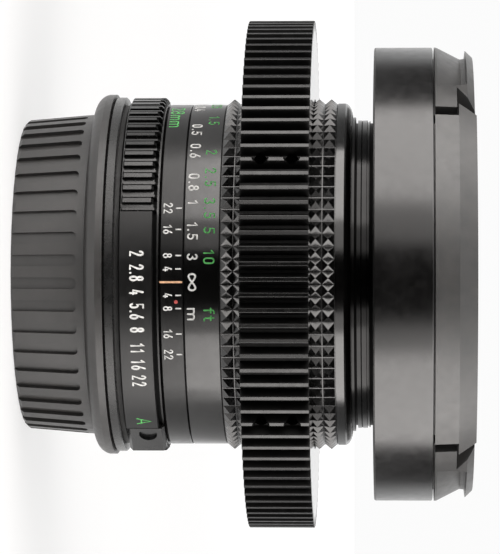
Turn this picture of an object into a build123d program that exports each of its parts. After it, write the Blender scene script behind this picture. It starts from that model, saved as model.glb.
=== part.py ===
from build123d import *
import math
import os

# Wide-angle prime lens, standing on its rear cap with the front up. Millimetres.
# +Z is the optical axis towards the front. The origin is the middle of the rear cap's base.
# Angles are measured about the axis from the side that faces -Y, towards +X.
# All places are those at infinity focus, with the iris open and both caps on.

# Clearances
run_gap = 0.08  # radial, between rings that turn or slide on one another
face_gap = 0.1  # axial, between faces that turn past one another
seat_gap = 0.05  # radial, round glass and screws in their seats

# Radial stack of the barrel, from the inside out
inner_barrel_r = 25.4
helicoid_wall = 1.8
helicoid_step = 0.8
fixed_wall = 1.2
focus_wall = 0.9
scale_wall = 1.4
aperture_wall = 2.3
mount_wall = 2.8
front_barrel_wall = 1.65

# Axial stack, from the rear cap to the front
rear_cap_len = 15.9
mount_ring_len = 1.8
groove_len = 0.7
aperture_len = 6.7
dof_len = 4.1
scale_len = 5.95
ring_slit = 0.15
grip_len = 19.25
front_barrel_len = 2.5
filter_flange_len = 1.0
collar_len = 2.8
front_ring_len = 10.2
cap_slit = 0.25
front_cap_len = 7.0

# Travel of the front group at the nearest focus
extension = 3.3

# Knurled grip and gear
grip_base = 0.6
knurl_depth = 0.8
knurl_count = 90
knurl_columns = 9
gear_module = 0.8
gear_teeth = 110
gear_len = 11.4
gear_from_grip_rear = 3.85
gear_screw_r = 1.15
gear_screw_spread = 5.2
gear_screw_turn = -25.8
gear_screw_shift = 0.25
gear_phase = -0.55

# Aperture ring
rib_pitch = 4.43
rib_height = 0.65
rib_under = 0.34
ridge_width = 0.42
block_width = 0.78
scale_zone = (-19.9, 58.8)
lug_zone = (58.8, 73.2)
lug_height = 1.5
button_turn = 62.7
button_w = 3.9
button_l = 2.95
button_travel = 0.8
aperture_range = (-51.0, 9.0)

# Rear cap
cap_grip_count = 45
cap_grip_depth = 0.65
cap_grip_width = 1.95
cap_grip_top = 11.2
cap_grip_turn = 3.15
cap_draft = 1.0
cap_wall = 2.0
cap_flange_over = 0.5
cap_body_under = 3.0
cap_flange_len = 3.2

# Mount
lug_count = 3
lens_lug_angle = 50.0
cap_lug_angle = 46.0
lug_reach = 1.9
lug_len = 1.5
baffle_t = 1.4
guard_wall = 1.0
guard_len = 11.4
ring_t = 1.0
lever_turn = 20.0

# Iris
blade_count = 8
iris_open_r = 9.6
blade_band = 4.0
blade_t = 0.12
blade_pitch = 0.22
blade_arc = 118.0
drive_lag = 12.0
stud_r = 0.5
ear_r = 1.1
blade_turn = 33.3
iris_floor = 0.8
iris_wall = 1.0
rotor_t = 1.4
web_t = 1.4

# Front end
step_wall = 1.4
step_plate = 2.0
front_ring_r = 40.0
front_lip = 2.0

# Front cap
cap_plate = 2.0
cap_skirt_len = 2.4
cap_skirt_wall = 1.8
cap_wall_half = 44.1
lever_half = 43.2
lever_front_half = 50.0
lever_end_y = 25.7
lever_notch_y = 23.1
cap_tooth_y = 26.4
scoop_half = 31.0
scoop_corner_r = 2.6
scoop_depth = 2.1
lever_travel = 1.5
tongue_half = 11.0
tongue_end = 9.0
tongue_t = 2.0
spring_out_r = 1.3
spring_in_r = 0.9
spring_y = 5.0
cap_turn = 1.9

# Glass: front vertex, rear vertex, front radius, rear radius, half width and clear rear half width.
# Heights are from the glass datum, which hangs a set depth behind the front barrel's shoulder.
# A radius is positive when its centre is towards the rear.
glass_depth = 39.15
glass_table = {
    "glass_1": (41.6, 40.1, 60.0, 32.0, 20.0, 19.0),
    "glass_2": (36.4, 32.0, 45.0, -120.0, 15.5, 15.5),
    "glass_3": (31.5, 30.3, 60.0, 20.0, 12.5, 11.5),
    "glass_4": (28.0, 25.6, 30.0, 300.0, 8.8, 8.8),
    "glass_5": (15.6, 14.2, -22.0, 24.0, 8.6, 8.6),
    "glass_6": (14.2, 10.4, 24.0, -24.0, 8.6, 8.6),
    "glass_7": (10.1, 7.4, -40.0, -22.0, 10.0, 10.0),
    "glass_8": (7.1, 3.9, 60.0, -40.0, 11.5, 11.5),
    "glass_9": (3.6, 2.0, 80.0, 200.0, 12.5, 12.5),
    "glass_10": (1.4, -0.6, 60.0, 200.0, 12.8, 12.8),
}

# Radii that follow
helicoid_in = inner_barrel_r + run_gap
helicoid_out = helicoid_in + helicoid_wall
fixed_in = helicoid_out + run_gap
fixed_out = fixed_in + fixed_wall
ring_in = fixed_out + run_gap
focus_out = ring_in + focus_wall
scale_out = ring_in + scale_wall
aperture_out = ring_in + aperture_wall
mount_out = fixed_out + mount_wall
valley_r = focus_out + grip_base
peak_r = valley_r + knurl_depth
front_barrel_out = fixed_out + front_barrel_wall
pitch_r = gear_module * gear_teeth / 2
filter_r = inner_barrel_r + 0.6
collar_r = inner_barrel_r + 1.8
flange_r = inner_barrel_r + 2.35
neck_r = inner_barrel_r + 2.95
lens_lug_r = inner_barrel_r - 1.3
guard_r = inner_barrel_r - 8.9
pivot_r = iris_open_r + 5.6
rotor_in_r = iris_open_r + 2.9
front_thread_r = front_ring_r - 1.9
cap_rim_r = front_ring_r - 0.1
cap_face_r = front_ring_r - 1.8
lever_in_r = front_ring_r - 5.8
cap_notch_r = lever_in_r - lever_travel - 1.2

# Stations that follow
mount_z = rear_cap_len + face_gap
groove_z = mount_z + mount_ring_len
aperture_z = groove_z + groove_len + face_gap
dof_z = aperture_z + aperture_len + face_gap
scale_z = dof_z + dof_len + ring_slit
grip_z = scale_z + scale_len + ring_slit
barrel_z = grip_z + grip_len + ring_slit
glass_z = barrel_z - glass_depth
neck_z = barrel_z + front_barrel_len
collar_z = neck_z + filter_flange_len
front_z = collar_z + collar_len
cap_z = front_z + front_ring_len + cap_slit
top_z = cap_z + front_cap_len

nodes = {}


def turned(*points):
    """A solid of revolution about the axis from (radius, height) points."""
    return revolve(Plane.XZ * make_face(Polyline(*points, close=True)), Axis.Z)


def ring(r_out, r_in, z0, z1):
    face = Circle(r_out) - Circle(r_in) if r_in else Circle(r_out)
    return Pos(0, 0, z0) * extrude(face, z1 - z0)


def sector(r_out, r_in, z0, z1, a0, a1):
    """A piece of a ring between two angles."""
    face = Plane.XZ * Pos((r_in + r_out) / 2, (z0 + z1) / 2) * Rectangle(r_out - r_in, z1 - z0)
    return Rot(0, 0, a0 - 90) * revolve(face, Axis.Z, a1 - a0)


def radial(r, r0, r1, z, angle):
    """A round bar that points away from the axis."""
    bar = Rot(90, 0, 0) * Cylinder(r, r1 - r0)
    return Rot(0, 0, angle) * Pos(0, -(r0 + r1) / 2, z) * bar


def axial(r, z0, z1, place_r, angle):
    """A round bar parallel to the axis."""
    bar = Cylinder(r, z1 - z0, align=(Align.CENTER, Align.CENTER, Align.MIN))
    return Rot(0, 0, angle) * Pos(0, -place_r, z0) * bar


def block(width, r0, r1, z0, z1, angle):
    """A box whose faces are square to the radius at its angle."""
    box = Box(width, r1 - r0, z1 - z0)
    return Rot(0, 0, angle) * Pos(0, -(r0 + r1) / 2, (z0 + z1) / 2) * box


def around(shape, count, start=0.0):
    return [Rot(0, 0, start + 360 * i / count) * shape for i in range(count)]


def group(shapes):
    return Compound([s for shape in shapes for s in shape.solids()])


def screw(r, length, head_r, head_len):
    """A countersunk screw that points down, with its head's face at height 0 and a cross slot."""
    body = turned(
        (0, 0), (head_r, 0), (head_r, -head_len * 0.3), (r, -head_len), (r, -length), (0, -length)
    )
    slot = Box(head_r * 1.3, 0.3, head_len) + Box(0.3, head_r * 1.3, head_len)
    return body - slot


# Rear cap: a cup with a shallow grip, a flange against the mount and three lugs on a collar

cap_flange_r = mount_out + cap_flange_over
cap_body_r = mount_out - cap_body_under
cap_collar_r = lens_lug_r - 0.2
cap_inner_r = cap_collar_r - 1.3
cap_shoulder_z = rear_cap_len - cap_flange_len
cap_outline = (
    Polyline(
        (cap_inner_r, rear_cap_len),
        (cap_flange_r, rear_cap_len),
        (cap_flange_r, cap_shoulder_z + 2.0),
    )
    + ThreePointArc(
        (cap_flange_r, cap_shoulder_z + 2.0),
        (cap_flange_r - 0.8, cap_shoulder_z + 0.65),
        (cap_flange_r - 2.6, cap_shoulder_z),
    )
    + Polyline(
        (cap_flange_r - 2.6, cap_shoulder_z),
        (cap_body_r, cap_shoulder_z - 0.2),
        (cap_body_r - cap_draft, 0.6),
        (cap_body_r - cap_draft - 0.6, 0),
        (0, 0),
        (0, cap_wall),
        (cap_body_r - 2.6, cap_wall),
        (cap_body_r - 2.6, rear_cap_len - 1.6),
        (cap_inner_r, rear_cap_len - 1.6),
        (cap_inner_r, rear_cap_len),
    )
)
rear_cap = revolve(Plane.XZ * make_face(cap_outline), Axis.Z)
cap_lug_z = mount_z + lug_len + 0.15
cap_collar_top = cap_lug_z + lug_len
rear_cap += ring(cap_collar_r, cap_inner_r, rear_cap_len - 0.5, cap_collar_top)
for i in range(lug_count):
    middle = 180 + 360 * i / lug_count
    rear_cap += sector(
        cap_collar_r + lug_reach, cap_collar_r - 0.5, cap_lug_z, cap_collar_top,
        middle - cap_lug_angle / 2, middle + cap_lug_angle / 2,
    )
draft_turn = math.degrees(math.atan(cap_draft / (cap_shoulder_z - 0.8)))
grip_low, grip_high = -1.5, cap_grip_top
grip_cut = Pos(0, cap_grip_depth - 1.5, 0) * Box(cap_grip_width, 3, grip_high - grip_low)
grip_cut = fillet(
    grip_cut.edges().filter_by(Axis.Y).group_by(Axis.Z)[-1], cap_grip_width * 0.38
)
grip_mid = (grip_low + grip_high) / 2
grip_at = cap_body_r - cap_draft * (cap_shoulder_z - 0.2 - grip_mid) / (cap_shoulder_z - 0.8)
grip_cut = Pos(0, -grip_at, grip_mid) * Rot(draft_turn, 0, 0) * grip_cut
rear_cap -= around(grip_cut, cap_grip_count, cap_grip_turn)
nodes["rear_cap"] = rear_cap

# Mount ring with three inward lugs, held by four screws

mount_bore = cap_collar_r + lug_reach + 0.3
mount_ring = turned(
    (mount_bore, mount_z), (mount_out - 0.3, mount_z), (mount_out, mount_z + 0.3),
    (mount_out, groove_z - 0.2), (mount_out - 0.2, groove_z), (mount_bore, groove_z),
)
for i in range(lug_count):
    middle = 180 + 360 * i / lug_count
    mount_ring += sector(
        mount_bore + 0.5, lens_lug_r, mount_z, mount_z + lug_len,
        middle - lens_lug_angle / 2, middle + lens_lug_angle / 2,
    )
mount_screw_r = 0.7
mount_screw_at = fixed_out - 0.9
mount_screw = Pos(0, -mount_screw_at, mount_z + 0.05) * Rot(180, 0, 0) * screw(
    mount_screw_r, 3.6, 1.25, 0.9
)
mount_screw_hole = Pos(0, -mount_screw_at, 0) * (
    Pos(0, 0, mount_z - 0.5) * Cylinder(
        1.25 + seat_gap, 1.45, align=(Align.CENTER, Align.CENTER, Align.MIN)
    )
    + Pos(0, 0, mount_z) * Cylinder(
        mount_screw_r + seat_gap, 3.9, align=(Align.CENTER, Align.CENTER, Align.MIN)
    )
)
mount_screw_turn = 45.0
mount_ring -= around(mount_screw_hole, 4, mount_screw_turn)
nodes["mount_ring"] = mount_ring
nodes["mount_screws"] = group(around(mount_screw, 4, mount_screw_turn))

# Fixed barrel: the tube that everything turns or slides on

baffle_r = mount_screw_at - mount_screw_r - 0.25
baffle_z = groove_z + 1.8
lever_z = baffle_z + baffle_t
fixed_waist = baffle_r - 1.8
key_flange_z = dof_z + 1.6
key_flange_in = lens_lug_r - 1.1
key_flange_t = 1.6
fixed_end = barrel_z - 9.15
retainer_len = 1.8
signal_z = aperture_z + aperture_len - 1.1
signal_out = fixed_waist - run_gap

fixed_barrel = turned(
    (baffle_r, groove_z), (scale_out - 0.1, groove_z), (scale_out - 0.1, groove_z + groove_len),
    (fixed_out, groove_z + groove_len), (fixed_out, fixed_end), (fixed_in, fixed_end),
    (fixed_in, key_flange_z + key_flange_t), (key_flange_in, key_flange_z + key_flange_t),
    (key_flange_in, key_flange_z), (fixed_waist, key_flange_z), (fixed_waist, lever_z),
    (baffle_r, lever_z),
)
fixed_barrel -= around(mount_screw_hole, 4, mount_screw_turn)

# Rear baffle: the plate behind the mount and its light guard, with slots for the two levers

baffle_screw_at = baffle_r - 1.0
baffle_screw_r = 0.6
baffle_turn = 15.0
guard_out = guard_r + guard_wall
stop_ring_out = guard_out + 1.5
signal_tab_r = stop_ring_out + 1.0
stop_turn = 90.0
signal_turn = 200.0
spring_turn = 300.0
rear_baffle = ring(baffle_r - seat_gap, guard_r, baffle_z, lever_z)
rear_baffle += ring(guard_out, guard_r, lever_z + 2.4 - guard_len, lever_z + 2.4)
rear_baffle -= sector(
    stop_ring_out - 0.1, guard_out + 0.1, baffle_z - 1, lever_z + 1,
    stop_turn - 5.0, stop_turn + 5.0 + lever_turn,
)
rear_baffle -= sector(
    signal_tab_r + 1.4, signal_tab_r - 0.3, baffle_z - 1, lever_z + 1,
    signal_turn - 5.0 + aperture_range[0], signal_turn + 5.0 + aperture_range[1],
)
baffle_screw = Pos(0, -baffle_screw_at, baffle_z + 0.05) * Rot(180, 0, 0) * screw(
    baffle_screw_r, 3.4, 0.95, 0.6
)
baffle_hole = Pos(0, -baffle_screw_at, 0) * (
    Pos(0, 0, baffle_z - 0.5) * Cylinder(
        0.95 + seat_gap, 1.15, align=(Align.CENTER, Align.CENTER, Align.MIN)
    )
    + Pos(0, 0, baffle_z) * Cylinder(
        baffle_screw_r + seat_gap, 3.6, align=(Align.CENTER, Align.CENTER, Align.MIN)
    )
)
rear_baffle -= around(baffle_hole, 3, baffle_turn)
spring_post = Rot(0, 0, spring_turn) * Pos(0, -(stop_ring_out + 2.2), lever_z) * Cylinder(
    0.5, 2.2, align=(Align.CENTER, Align.CENTER, Align.MIN)
)
rear_baffle += spring_post
nodes["rear_baffle"] = rear_baffle
fixed_barrel -= around(baffle_hole, 3, baffle_turn)

# Guide keys: two L-shaped bars that keep the inner barrel from turning

key_width = 4.0
key_foot_z = key_flange_z + key_flange_t
key_bar_top = key_foot_z + extension + 2.7
key_turns = (45.0, 225.0)
key_bar_in = inner_barrel_r - 1.3
key_screw_at = inner_barrel_r + 0.4
keys, key_screws = [], []
for turn in key_turns:
    foot = block(key_width, key_flange_in + 0.3, fixed_in - 0.2, key_foot_z, key_foot_z + 0.8, turn)
    bar = block(key_width, key_bar_in, inner_barrel_r - 0.1, key_foot_z, key_bar_top, turn)
    hole = axial(0.6 + seat_gap, key_flange_z + 0.3, key_foot_z + 1.5, key_screw_at, turn)
    keys.append(foot + bar - hole)
    shank = axial(0.6, key_flange_z + 0.4, key_foot_z + 0.9, key_screw_at, turn)
    head = axial(1.0, key_foot_z + 0.8, key_foot_z + 1.4, key_screw_at, turn)
    keys[-1] -= axial(1.0 + seat_gap, key_foot_z + 0.8, key_bar_top + 1, key_screw_at, turn)
    key_screws.append(shank + head)
    fixed_barrel -= hole
nodes["guide_keys"] = group(keys)
nodes["barrel_screws"] = group(around(baffle_screw, 3, baffle_turn) + key_screws)

# Click spring: a leaf in a pocket under the aperture ring, whose nib sits in one of the ring's notches

click_turn = 180.0
click_z = aperture_z + 3.4
click_pocket = sector(fixed_out + 1, fixed_out - 0.9, click_z - 1.0, click_z + 1.0, 168.0, 192.0)
fixed_barrel -= click_pocket
leaf = sector(fixed_out - 0.55, fixed_out - 0.85, click_z - 0.9, click_z + 0.9, 169.0, 191.0)
nib_r = 0.35
nib_at = ring_in - 0.12
nib = Rot(0, 0, click_turn) * Pos(0, -nib_at, click_z) * Cylinder(nib_r, 1.6)
neck = block(0.5, fixed_out - 0.8, nib_at, click_z - 0.8, click_z + 0.8, click_turn)
nodes["click_spring"] = leaf + nib + neck

# Aperture ring: scale half, ribbed half and the lug with its button

ap_top = aperture_z + aperture_len
step_r = scale_out + 0.1
ap_step_z = ap_top - 0.9
rib_base_r = aperture_out - rib_under
smooth_r = aperture_out + 0.2
aperture_ring = turned(
    (ring_in, aperture_z), (rib_base_r - 0.25, aperture_z), (rib_base_r, aperture_z + 0.25),
    (rib_base_r, ap_step_z), (step_r, ap_step_z), (step_r, ap_top), (ring_in, ap_top),
)
aperture_ring += Rot(0, 0, scale_zone[0] - 90) * revolve(
    Plane.XZ * make_face(
        Polyline(
            (step_r, aperture_z), (smooth_r - 0.25, aperture_z), (smooth_r, aperture_z + 0.25),
            (smooth_r, ap_step_z - 0.15), (smooth_r - 0.15, ap_step_z), (step_r, ap_step_z),
            close=True,
        )
    ),
    Axis.Z, scale_zone[1] - scale_zone[0],
)
rib_top_r = rib_base_r + rib_height
ribbed = 360 - (lug_zone[1] - scale_zone[0])
rib_n = round(ribbed / rib_pitch)


def rib(front, width):
    side = make_face(
        Polyline(
            (step_r - 0.2, aperture_z + 0.3), (rib_base_r - 0.1, aperture_z + 0.3),
            (rib_top_r, aperture_z + 0.6), (rib_top_r, front - 0.4), (rib_top_r - 0.4, front),
            (step_r - 0.2, front), close=True,
        )
    )
    slab = extrude(Plane.XZ * side, width / 2, both=True)
    return Rot(0, 0, -90) * slab


ridge, block_rib = rib(ap_top - 0.3, ridge_width), rib(ap_step_z, block_width)
mm_turn = math.degrees(1 / rib_top_r)
ribs = []
for i in range(rib_n):
    edge_turn = scale_zone[0] - ribbed * i / rib_n
    ribs.append(Rot(0, 0, edge_turn - (0.2 + ridge_width / 2) * mm_turn) * ridge)
    if i > 0:
        ribs.append(Rot(0, 0, edge_turn + block_width / 2 * mm_turn) * block_rib)
aperture_ring += ribs
# The lug's face is a flat that leaves the ring at its first edge and rises from there
lug = sector(smooth_r + lug_height, step_r - 0.2, aperture_z + 0.3, ap_top, *lug_zone)
lug_face_r = smooth_r + 0.05
lug_side = make_face(
    Polyline(
        (0, aperture_z + 0.3), (lug_face_r - 0.5, aperture_z + 0.3), (lug_face_r, aperture_z + 0.8),
        (lug_face_r, ap_top - 0.5), (lug_face_r - 0.5, ap_top), (0, ap_top), close=True,
    )
)
lug &= Rot(0, 0, lug_zone[0] - 90) * extrude(Plane.XZ * lug_side, lug_face_r, both=True)
aperture_ring += lug
button_z = (aperture_z + ap_top) / 2 + 0.45
button_floor = ring_in + 0.4


def oval(width, length, r0, r1):
    """An oval bar that points away from the axis."""
    face = Plane.XZ * Ellipse(width / 2, length / 2)
    return Pos(0, -r0, 0) * extrude(face, r1 - r0)


aperture_ring -= Rot(0, 0, button_turn) * Pos(0, 0, button_z) * oval(
    button_w + 2 * run_gap, button_l + 2 * run_gap, button_floor, lug_face_r + 1
)
notch = Rot(0, 0, click_turn) * Pos(0, -nib_at, click_z) * Cylinder(nib_r + 0.06, 2.2)
aperture_ring -= [Rot(0, 0, 6.0 * i) * notch for i in range(-1, 6)]
signal_lug_w = 2.4
signal_lug_r = ring_in + 0.9
aperture_ring -= block(
    signal_lug_w + 0.1, ring_in - 1, signal_lug_r + 0.15, signal_z - 0.1, ap_top + 1, signal_turn
)
nodes["aperture_ring"] = aperture_ring
nodes["ae_lock_button"] = Rot(0, 0, button_turn) * Pos(0, 0, button_z) * oval(
    button_w, button_l, button_floor + button_travel + 0.15, lug_face_r - 0.35
)

# Signal lever: the ring inside the mount that carries the aperture setting to the camera

signal_lever = ring(signal_out, signal_tab_r + 3.2, signal_z, signal_z + ring_t)
signal_lever += block(
    signal_lug_w, signal_out - 0.8, signal_lug_r, signal_z, signal_z + ring_t, signal_turn
)
signal_lever += sector(
    signal_out - 0.5, signal_tab_r, signal_z, signal_z + ring_t, signal_turn - 3.0, signal_turn + 3.0
)
signal_lever += sector(
    signal_tab_r + 1.1, signal_tab_r, mount_z - 4.6, signal_z + ring_t,
    signal_turn - 3.0, signal_turn + 3.0,
)
nodes["signal_lever"] = signal_lever
half_lug = math.degrees(signal_lug_w / 2 / fixed_waist) + 1.5
fixed_barrel -= sector(
    fixed_out + 1, fixed_waist - 1, signal_z - 0.12, signal_z + ring_t + 0.12,
    signal_turn + aperture_range[0] - half_lug, signal_turn + aperture_range[1] + half_lug,
)

# Stop-down lever: turns on the guard tube and drives the iris through a long finger

finger_r = signal_tab_r + 1.6
finger_half = 3.0
finger_turn = 20.0
iris_floor_z = glass_z + 18.0
finger_top = iris_floor_z + 2.5
stopdown_lever = ring(stop_ring_out, guard_out + run_gap, lever_z + 0.3, lever_z + 0.3 + ring_t)
stopdown_lever += sector(
    stop_ring_out - 0.2, guard_out + 0.3, mount_z - 4.6, lever_z + 0.3 + ring_t,
    stop_turn - 3.0, stop_turn + 3.0,
)
stopdown_lever += sector(
    finger_r + 1.0, stop_ring_out - 0.5, lever_z + 0.3, lever_z + 0.3 + ring_t,
    finger_turn - finger_half, finger_turn + finger_half,
)
stopdown_lever += sector(
    finger_r + 1.0, finger_r, lever_z + 0.3, finger_top,
    finger_turn - finger_half, finger_turn + finger_half,
)
spring_end_turn = spring_turn + 32.0
stopdown_lever += sector(
    stop_ring_out + 3.0, stop_ring_out - 0.5, lever_z + 0.3, lever_z + 0.3 + ring_t,
    spring_end_turn - 2.5, spring_end_turn + 2.5,
)
nodes["stopdown_lever"] = stopdown_lever


def polar(r, angle, z):
    a = math.radians(angle - 90)
    return Vector(r * math.cos(a), r * math.sin(a), z)


def tube_between(p, q, r_out, r_in):
    """A wound spring as a plain tube."""
    plane = Plane(origin=p, z_dir=q - p)
    return extrude(plane * (Circle(r_out) - Circle(r_in)), (q - p).length)


spring_at_z = lever_z + 2.3
spring_from = polar(stop_ring_out + 2.2, spring_turn + 3.2, spring_at_z + 0.35)
spring_to = polar(stop_ring_out + 2.2, spring_end_turn - 1.0, spring_at_z + 0.35)
nodes["stopdown_spring"] = tube_between(spring_from, spring_to, 0.95, 0.6)

# Depth-of-field ring with the mount's lock button

dof_ring = turned(
    (fixed_out, dof_z), (scale_out - 0.35, dof_z), (scale_out, dof_z + 0.35),
    (scale_out, dof_z + dof_len - 0.1), (scale_out - 0.1, dof_z + dof_len), (fixed_out, dof_z + dof_len),
)
lock_turn = 248.0
lock_w, lock_l = 2.2, 6.0
lock_z = dof_z + dof_len / 2
lock_travel = 1.0
lock_hole = Rot(0, 0, lock_turn) * Pos(0, 0, lock_z) * (
    Pos(0, -fixed_in - 2, 0) * Box(lock_l + 2 * run_gap, 8, lock_w + 2 * run_gap)
)
dof_ring -= lock_hole
fixed_barrel -= lock_hole
lock_button = Rot(0, 0, lock_turn) * Pos(0, 0, lock_z) * (
    Pos(0, -(fixed_in + lock_travel + 0.2 + scale_out + 1.2) / 2, 0)
    * Box(lock_l, scale_out + 1.2 - (fixed_in + lock_travel + 0.2), lock_w)
)
lock_button = fillet(
    lock_button.faces().sort_by_distance(Vector(*(polar(60, lock_turn, lock_z))))[0].edges(), 0.4
)
nodes["dof_scale_ring"] = dof_ring
nodes["mount_lock_button"] = lock_button

# Focus helicoid, its retainer and the rings that turn with it

helicoid_rear = key_foot_z + 2.0
retainer_z = fixed_end - 0.15 - retainer_len
step_out = helicoid_out - helicoid_step
flange_z = fixed_end + 0.15
flange_t = 1.7
focus_shoulder_r = ring_in + 0.35
focus_helicoid = turned(
    (helicoid_in, helicoid_rear), (helicoid_out, helicoid_rear), (helicoid_out, retainer_z - face_gap),
    (step_out, retainer_z - face_gap), (step_out, flange_z), (focus_shoulder_r - seat_gap, flange_z),
    (focus_shoulder_r - seat_gap, flange_z + flange_t), (helicoid_in, flange_z + flange_t),
)
helicoid_retainer = ring(fixed_in, step_out + run_gap, retainer_z, retainer_z + retainer_len)
helicoid_retainer -= around(
    block(1.2, step_out - 1, fixed_in + 1, retainer_z + retainer_len - 0.6, fixed_end, 0.0), 2, 60.0
)
focus_ring = turned(
    (ring_in, scale_z), (focus_out, scale_z), (focus_out, barrel_z - ring_slit),
    (focus_shoulder_r, barrel_z - ring_slit), (focus_shoulder_r, flange_z - 0.1),
    (ring_in, flange_z - 0.1),
)
focus_screw_z = flange_z + flange_t / 2
focus_screw = radial(0.55, focus_shoulder_r - 1.9, focus_out - 0.1, focus_screw_z, 0.0)
focus_hole = radial(0.55 + seat_gap, focus_shoulder_r - 2.0, focus_out + 1, focus_screw_z, 0.0)
focus_ring -= around(focus_hole, 3, 30.0)
focus_helicoid -= around(focus_hole, 3, 30.0)
distance_ring = turned(
    (focus_out, scale_z), (scale_out - 0.1, scale_z), (scale_out, scale_z + 0.1),
    (scale_out, scale_z + scale_len - 0.1), (scale_out - 0.1, scale_z + scale_len),
    (focus_out, scale_z + scale_len),
)
nodes["fixed_barrel"] = fixed_barrel
nodes["focus_helicoid"] = focus_helicoid
nodes["helicoid_retainer"] = helicoid_retainer
nodes["focus_ring"] = focus_ring
nodes["focus_ring_screws"] = group(around(focus_screw, 3, 30.0))
nodes["distance_scale_ring"] = distance_ring

# Knurled grip: circumferential grooves from the turned profile, axial grooves from a fluted bar

column = grip_len / knurl_columns
plain_from, plain_to = grip_z + 2 * column, grip_z + grip_len - 2 * column
outline = [(focus_out, grip_z), (valley_r, grip_z)]
for i in range(2):
    outline += [(peak_r, grip_z + (i + 0.5) * column), (valley_r, grip_z + (i + 1) * column)]
outline += [(peak_r, plain_from + column / 2), (peak_r, plain_to - column / 2), (valley_r, plain_to)]
for i in range(2):
    outline += [(peak_r, plain_to + (i + 0.5) * column), (valley_r, plain_to + (i + 1) * column)]
outline += [(focus_out, grip_z + grip_len)]
flutes = [
    ((peak_r if i % 2 == 0 else valley_r) * math.cos(math.pi * i / knurl_count),
     (peak_r if i % 2 == 0 else valley_r) * math.sin(math.pi * i / knurl_count))
    for i in range(2 * knurl_count)
]
fluted_bar = Pos(0, 0, grip_z - 1) * extrude(make_face(Polyline(*flutes, close=True)), grip_len + 2)
nodes["focus_grip"] = turned(*outline) & fluted_bar

# Gear ring for a follow focus

gear_z = grip_z + gear_from_grip_rear
gear_bore = peak_r + 0.03
tip_r, root_r = pitch_r + gear_module, pitch_r - 1.25 * gear_module
half_pitch_w = math.pi * gear_module / 4
flank = math.tan(math.radians(20))
tooth = []
for i in range(gear_teeth):
    middle = 2 * math.pi * i / gear_teeth + math.radians(gear_phase)
    for r, w in (
        (root_r, -(half_pitch_w + 1.25 * gear_module * flank)),
        (tip_r, -(half_pitch_w - gear_module * flank)),
        (tip_r, half_pitch_w - gear_module * flank),
        (root_r, half_pitch_w + 1.25 * gear_module * flank),
    ):
        tooth.append((r * math.cos(middle + w / r), r * math.sin(middle + w / r)))
gear_ring = Pos(0, 0, gear_z) * extrude(make_face(Polyline(*tooth, close=True)), gear_len)
edge = 0.4
gear_ring &= turned(
    (gear_bore, gear_z), (tip_r - edge, gear_z), (tip_r + 0.02, gear_z + edge),
    (tip_r + 0.02, gear_z + gear_len - edge), (tip_r - edge, gear_z + gear_len),
    (gear_bore, gear_z + gear_len),
)
set_holes, set_screws = [], []
for i in range(6):
    turn = gear_screw_turn + 60 * i
    for side in (-1, 1):
        z = gear_z + gear_len / 2 + gear_screw_shift + side * gear_screw_spread / 2
        set_holes.append(radial(gear_screw_r + seat_gap, gear_bore - 1, tip_r + 1, z, turn))
        bolt = radial(gear_screw_r, peak_r + 0.02, peak_r + 6.0, z, turn)
        bolt -= radial(0.55, peak_r + 4.6, peak_r + 7.0, z, turn)
        set_screws.append(bolt)
gear_ring -= set_holes
nodes["gear_ring"] = gear_ring
nodes["gear_set_screws"] = group(set_screws)

# Inner barrel: carries the glass and the iris, slides on the guide keys

inner_rear = key_foot_z + 0.4
inner_front = barrel_z - 2.15
inner_bore = inner_barrel_r - 1.4
blades_z = iris_floor_z + iris_floor + 0.15
rotor_z = blades_z + blade_pitch * (blade_count - 1) + blade_t + 0.3
iris_top = rotor_z + rotor_t + 0.3
cell_r = inner_barrel_r - 3.1
iris_r = cell_r - 2.1
lens_barrel = turned(
    (inner_bore, inner_rear), (inner_barrel_r, inner_rear), (inner_barrel_r, inner_front),
    (cell_r + seat_gap, inner_front), (cell_r + seat_gap, iris_top + web_t),
    (iris_open_r + 1.2, iris_top + web_t), (iris_open_r + 1.2, iris_top), (inner_bore, iris_top),
)
for turn in key_turns:
    lens_barrel -= block(
        key_width + 2 * run_gap, inner_bore - 1, inner_barrel_r + 1, inner_rear - 1, key_bar_top + 0.6, turn
    )

# Front barrel, seated on the inner barrel with three screws

sleeve_out = focus_shoulder_r - 0.1
sleeve_rear = flange_z + flange_t + 0.4
seat_t = 1.6
filter_seat_r = neck_r
front_barrel = turned(
    (cell_r + seat_gap, inner_front), (sleeve_out - 1.4, inner_front), (sleeve_out - 1.4, sleeve_rear),
    (sleeve_out, sleeve_rear), (sleeve_out, barrel_z), (front_barrel_out, barrel_z),
    (front_barrel_out, neck_z - 1.15), (front_barrel_out - 0.12, neck_z - 0.85),
    (front_barrel_out - 0.45, neck_z - 0.5), (front_barrel_out - 1.0, neck_z - 0.2),
    (front_barrel_out - 1.6, neck_z), (filter_seat_r, neck_z), (filter_seat_r, inner_front + seat_t + 0.9),
    (cell_r + 2.6, inner_front + seat_t + 0.9), (cell_r + 2.6, inner_front + seat_t),
    (cell_r + seat_gap, inner_front + seat_t),
)
front_screw_at = inner_barrel_r - 1.4
front_screw = Pos(0, -front_screw_at, inner_front + seat_t - 0.05) * screw(0.7, 4.4, 1.2, 0.9)
front_hole = Pos(0, -front_screw_at, 0) * (
    Pos(0, 0, inner_front + seat_t - 0.95) * Cylinder(
        1.2 + seat_gap, 2, align=(Align.CENTER, Align.CENTER, Align.MIN)
    )
    + Pos(0, 0, inner_front + seat_t - 4.7) * Cylinder(
        0.7 + seat_gap, 4.7, align=(Align.CENTER, Align.CENTER, Align.MIN)
    )
)
front_barrel -= around(front_hole, 3, 90.0)
lens_barrel -= around(front_hole, 3, 90.0)
nodes["lens_barrel"] = lens_barrel
nodes["front_barrel"] = front_barrel
nodes["front_barrel_screws"] = group(around(front_screw, 3, 90.0))

# Filter ring, trim ring, step-up ring and front ring

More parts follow.
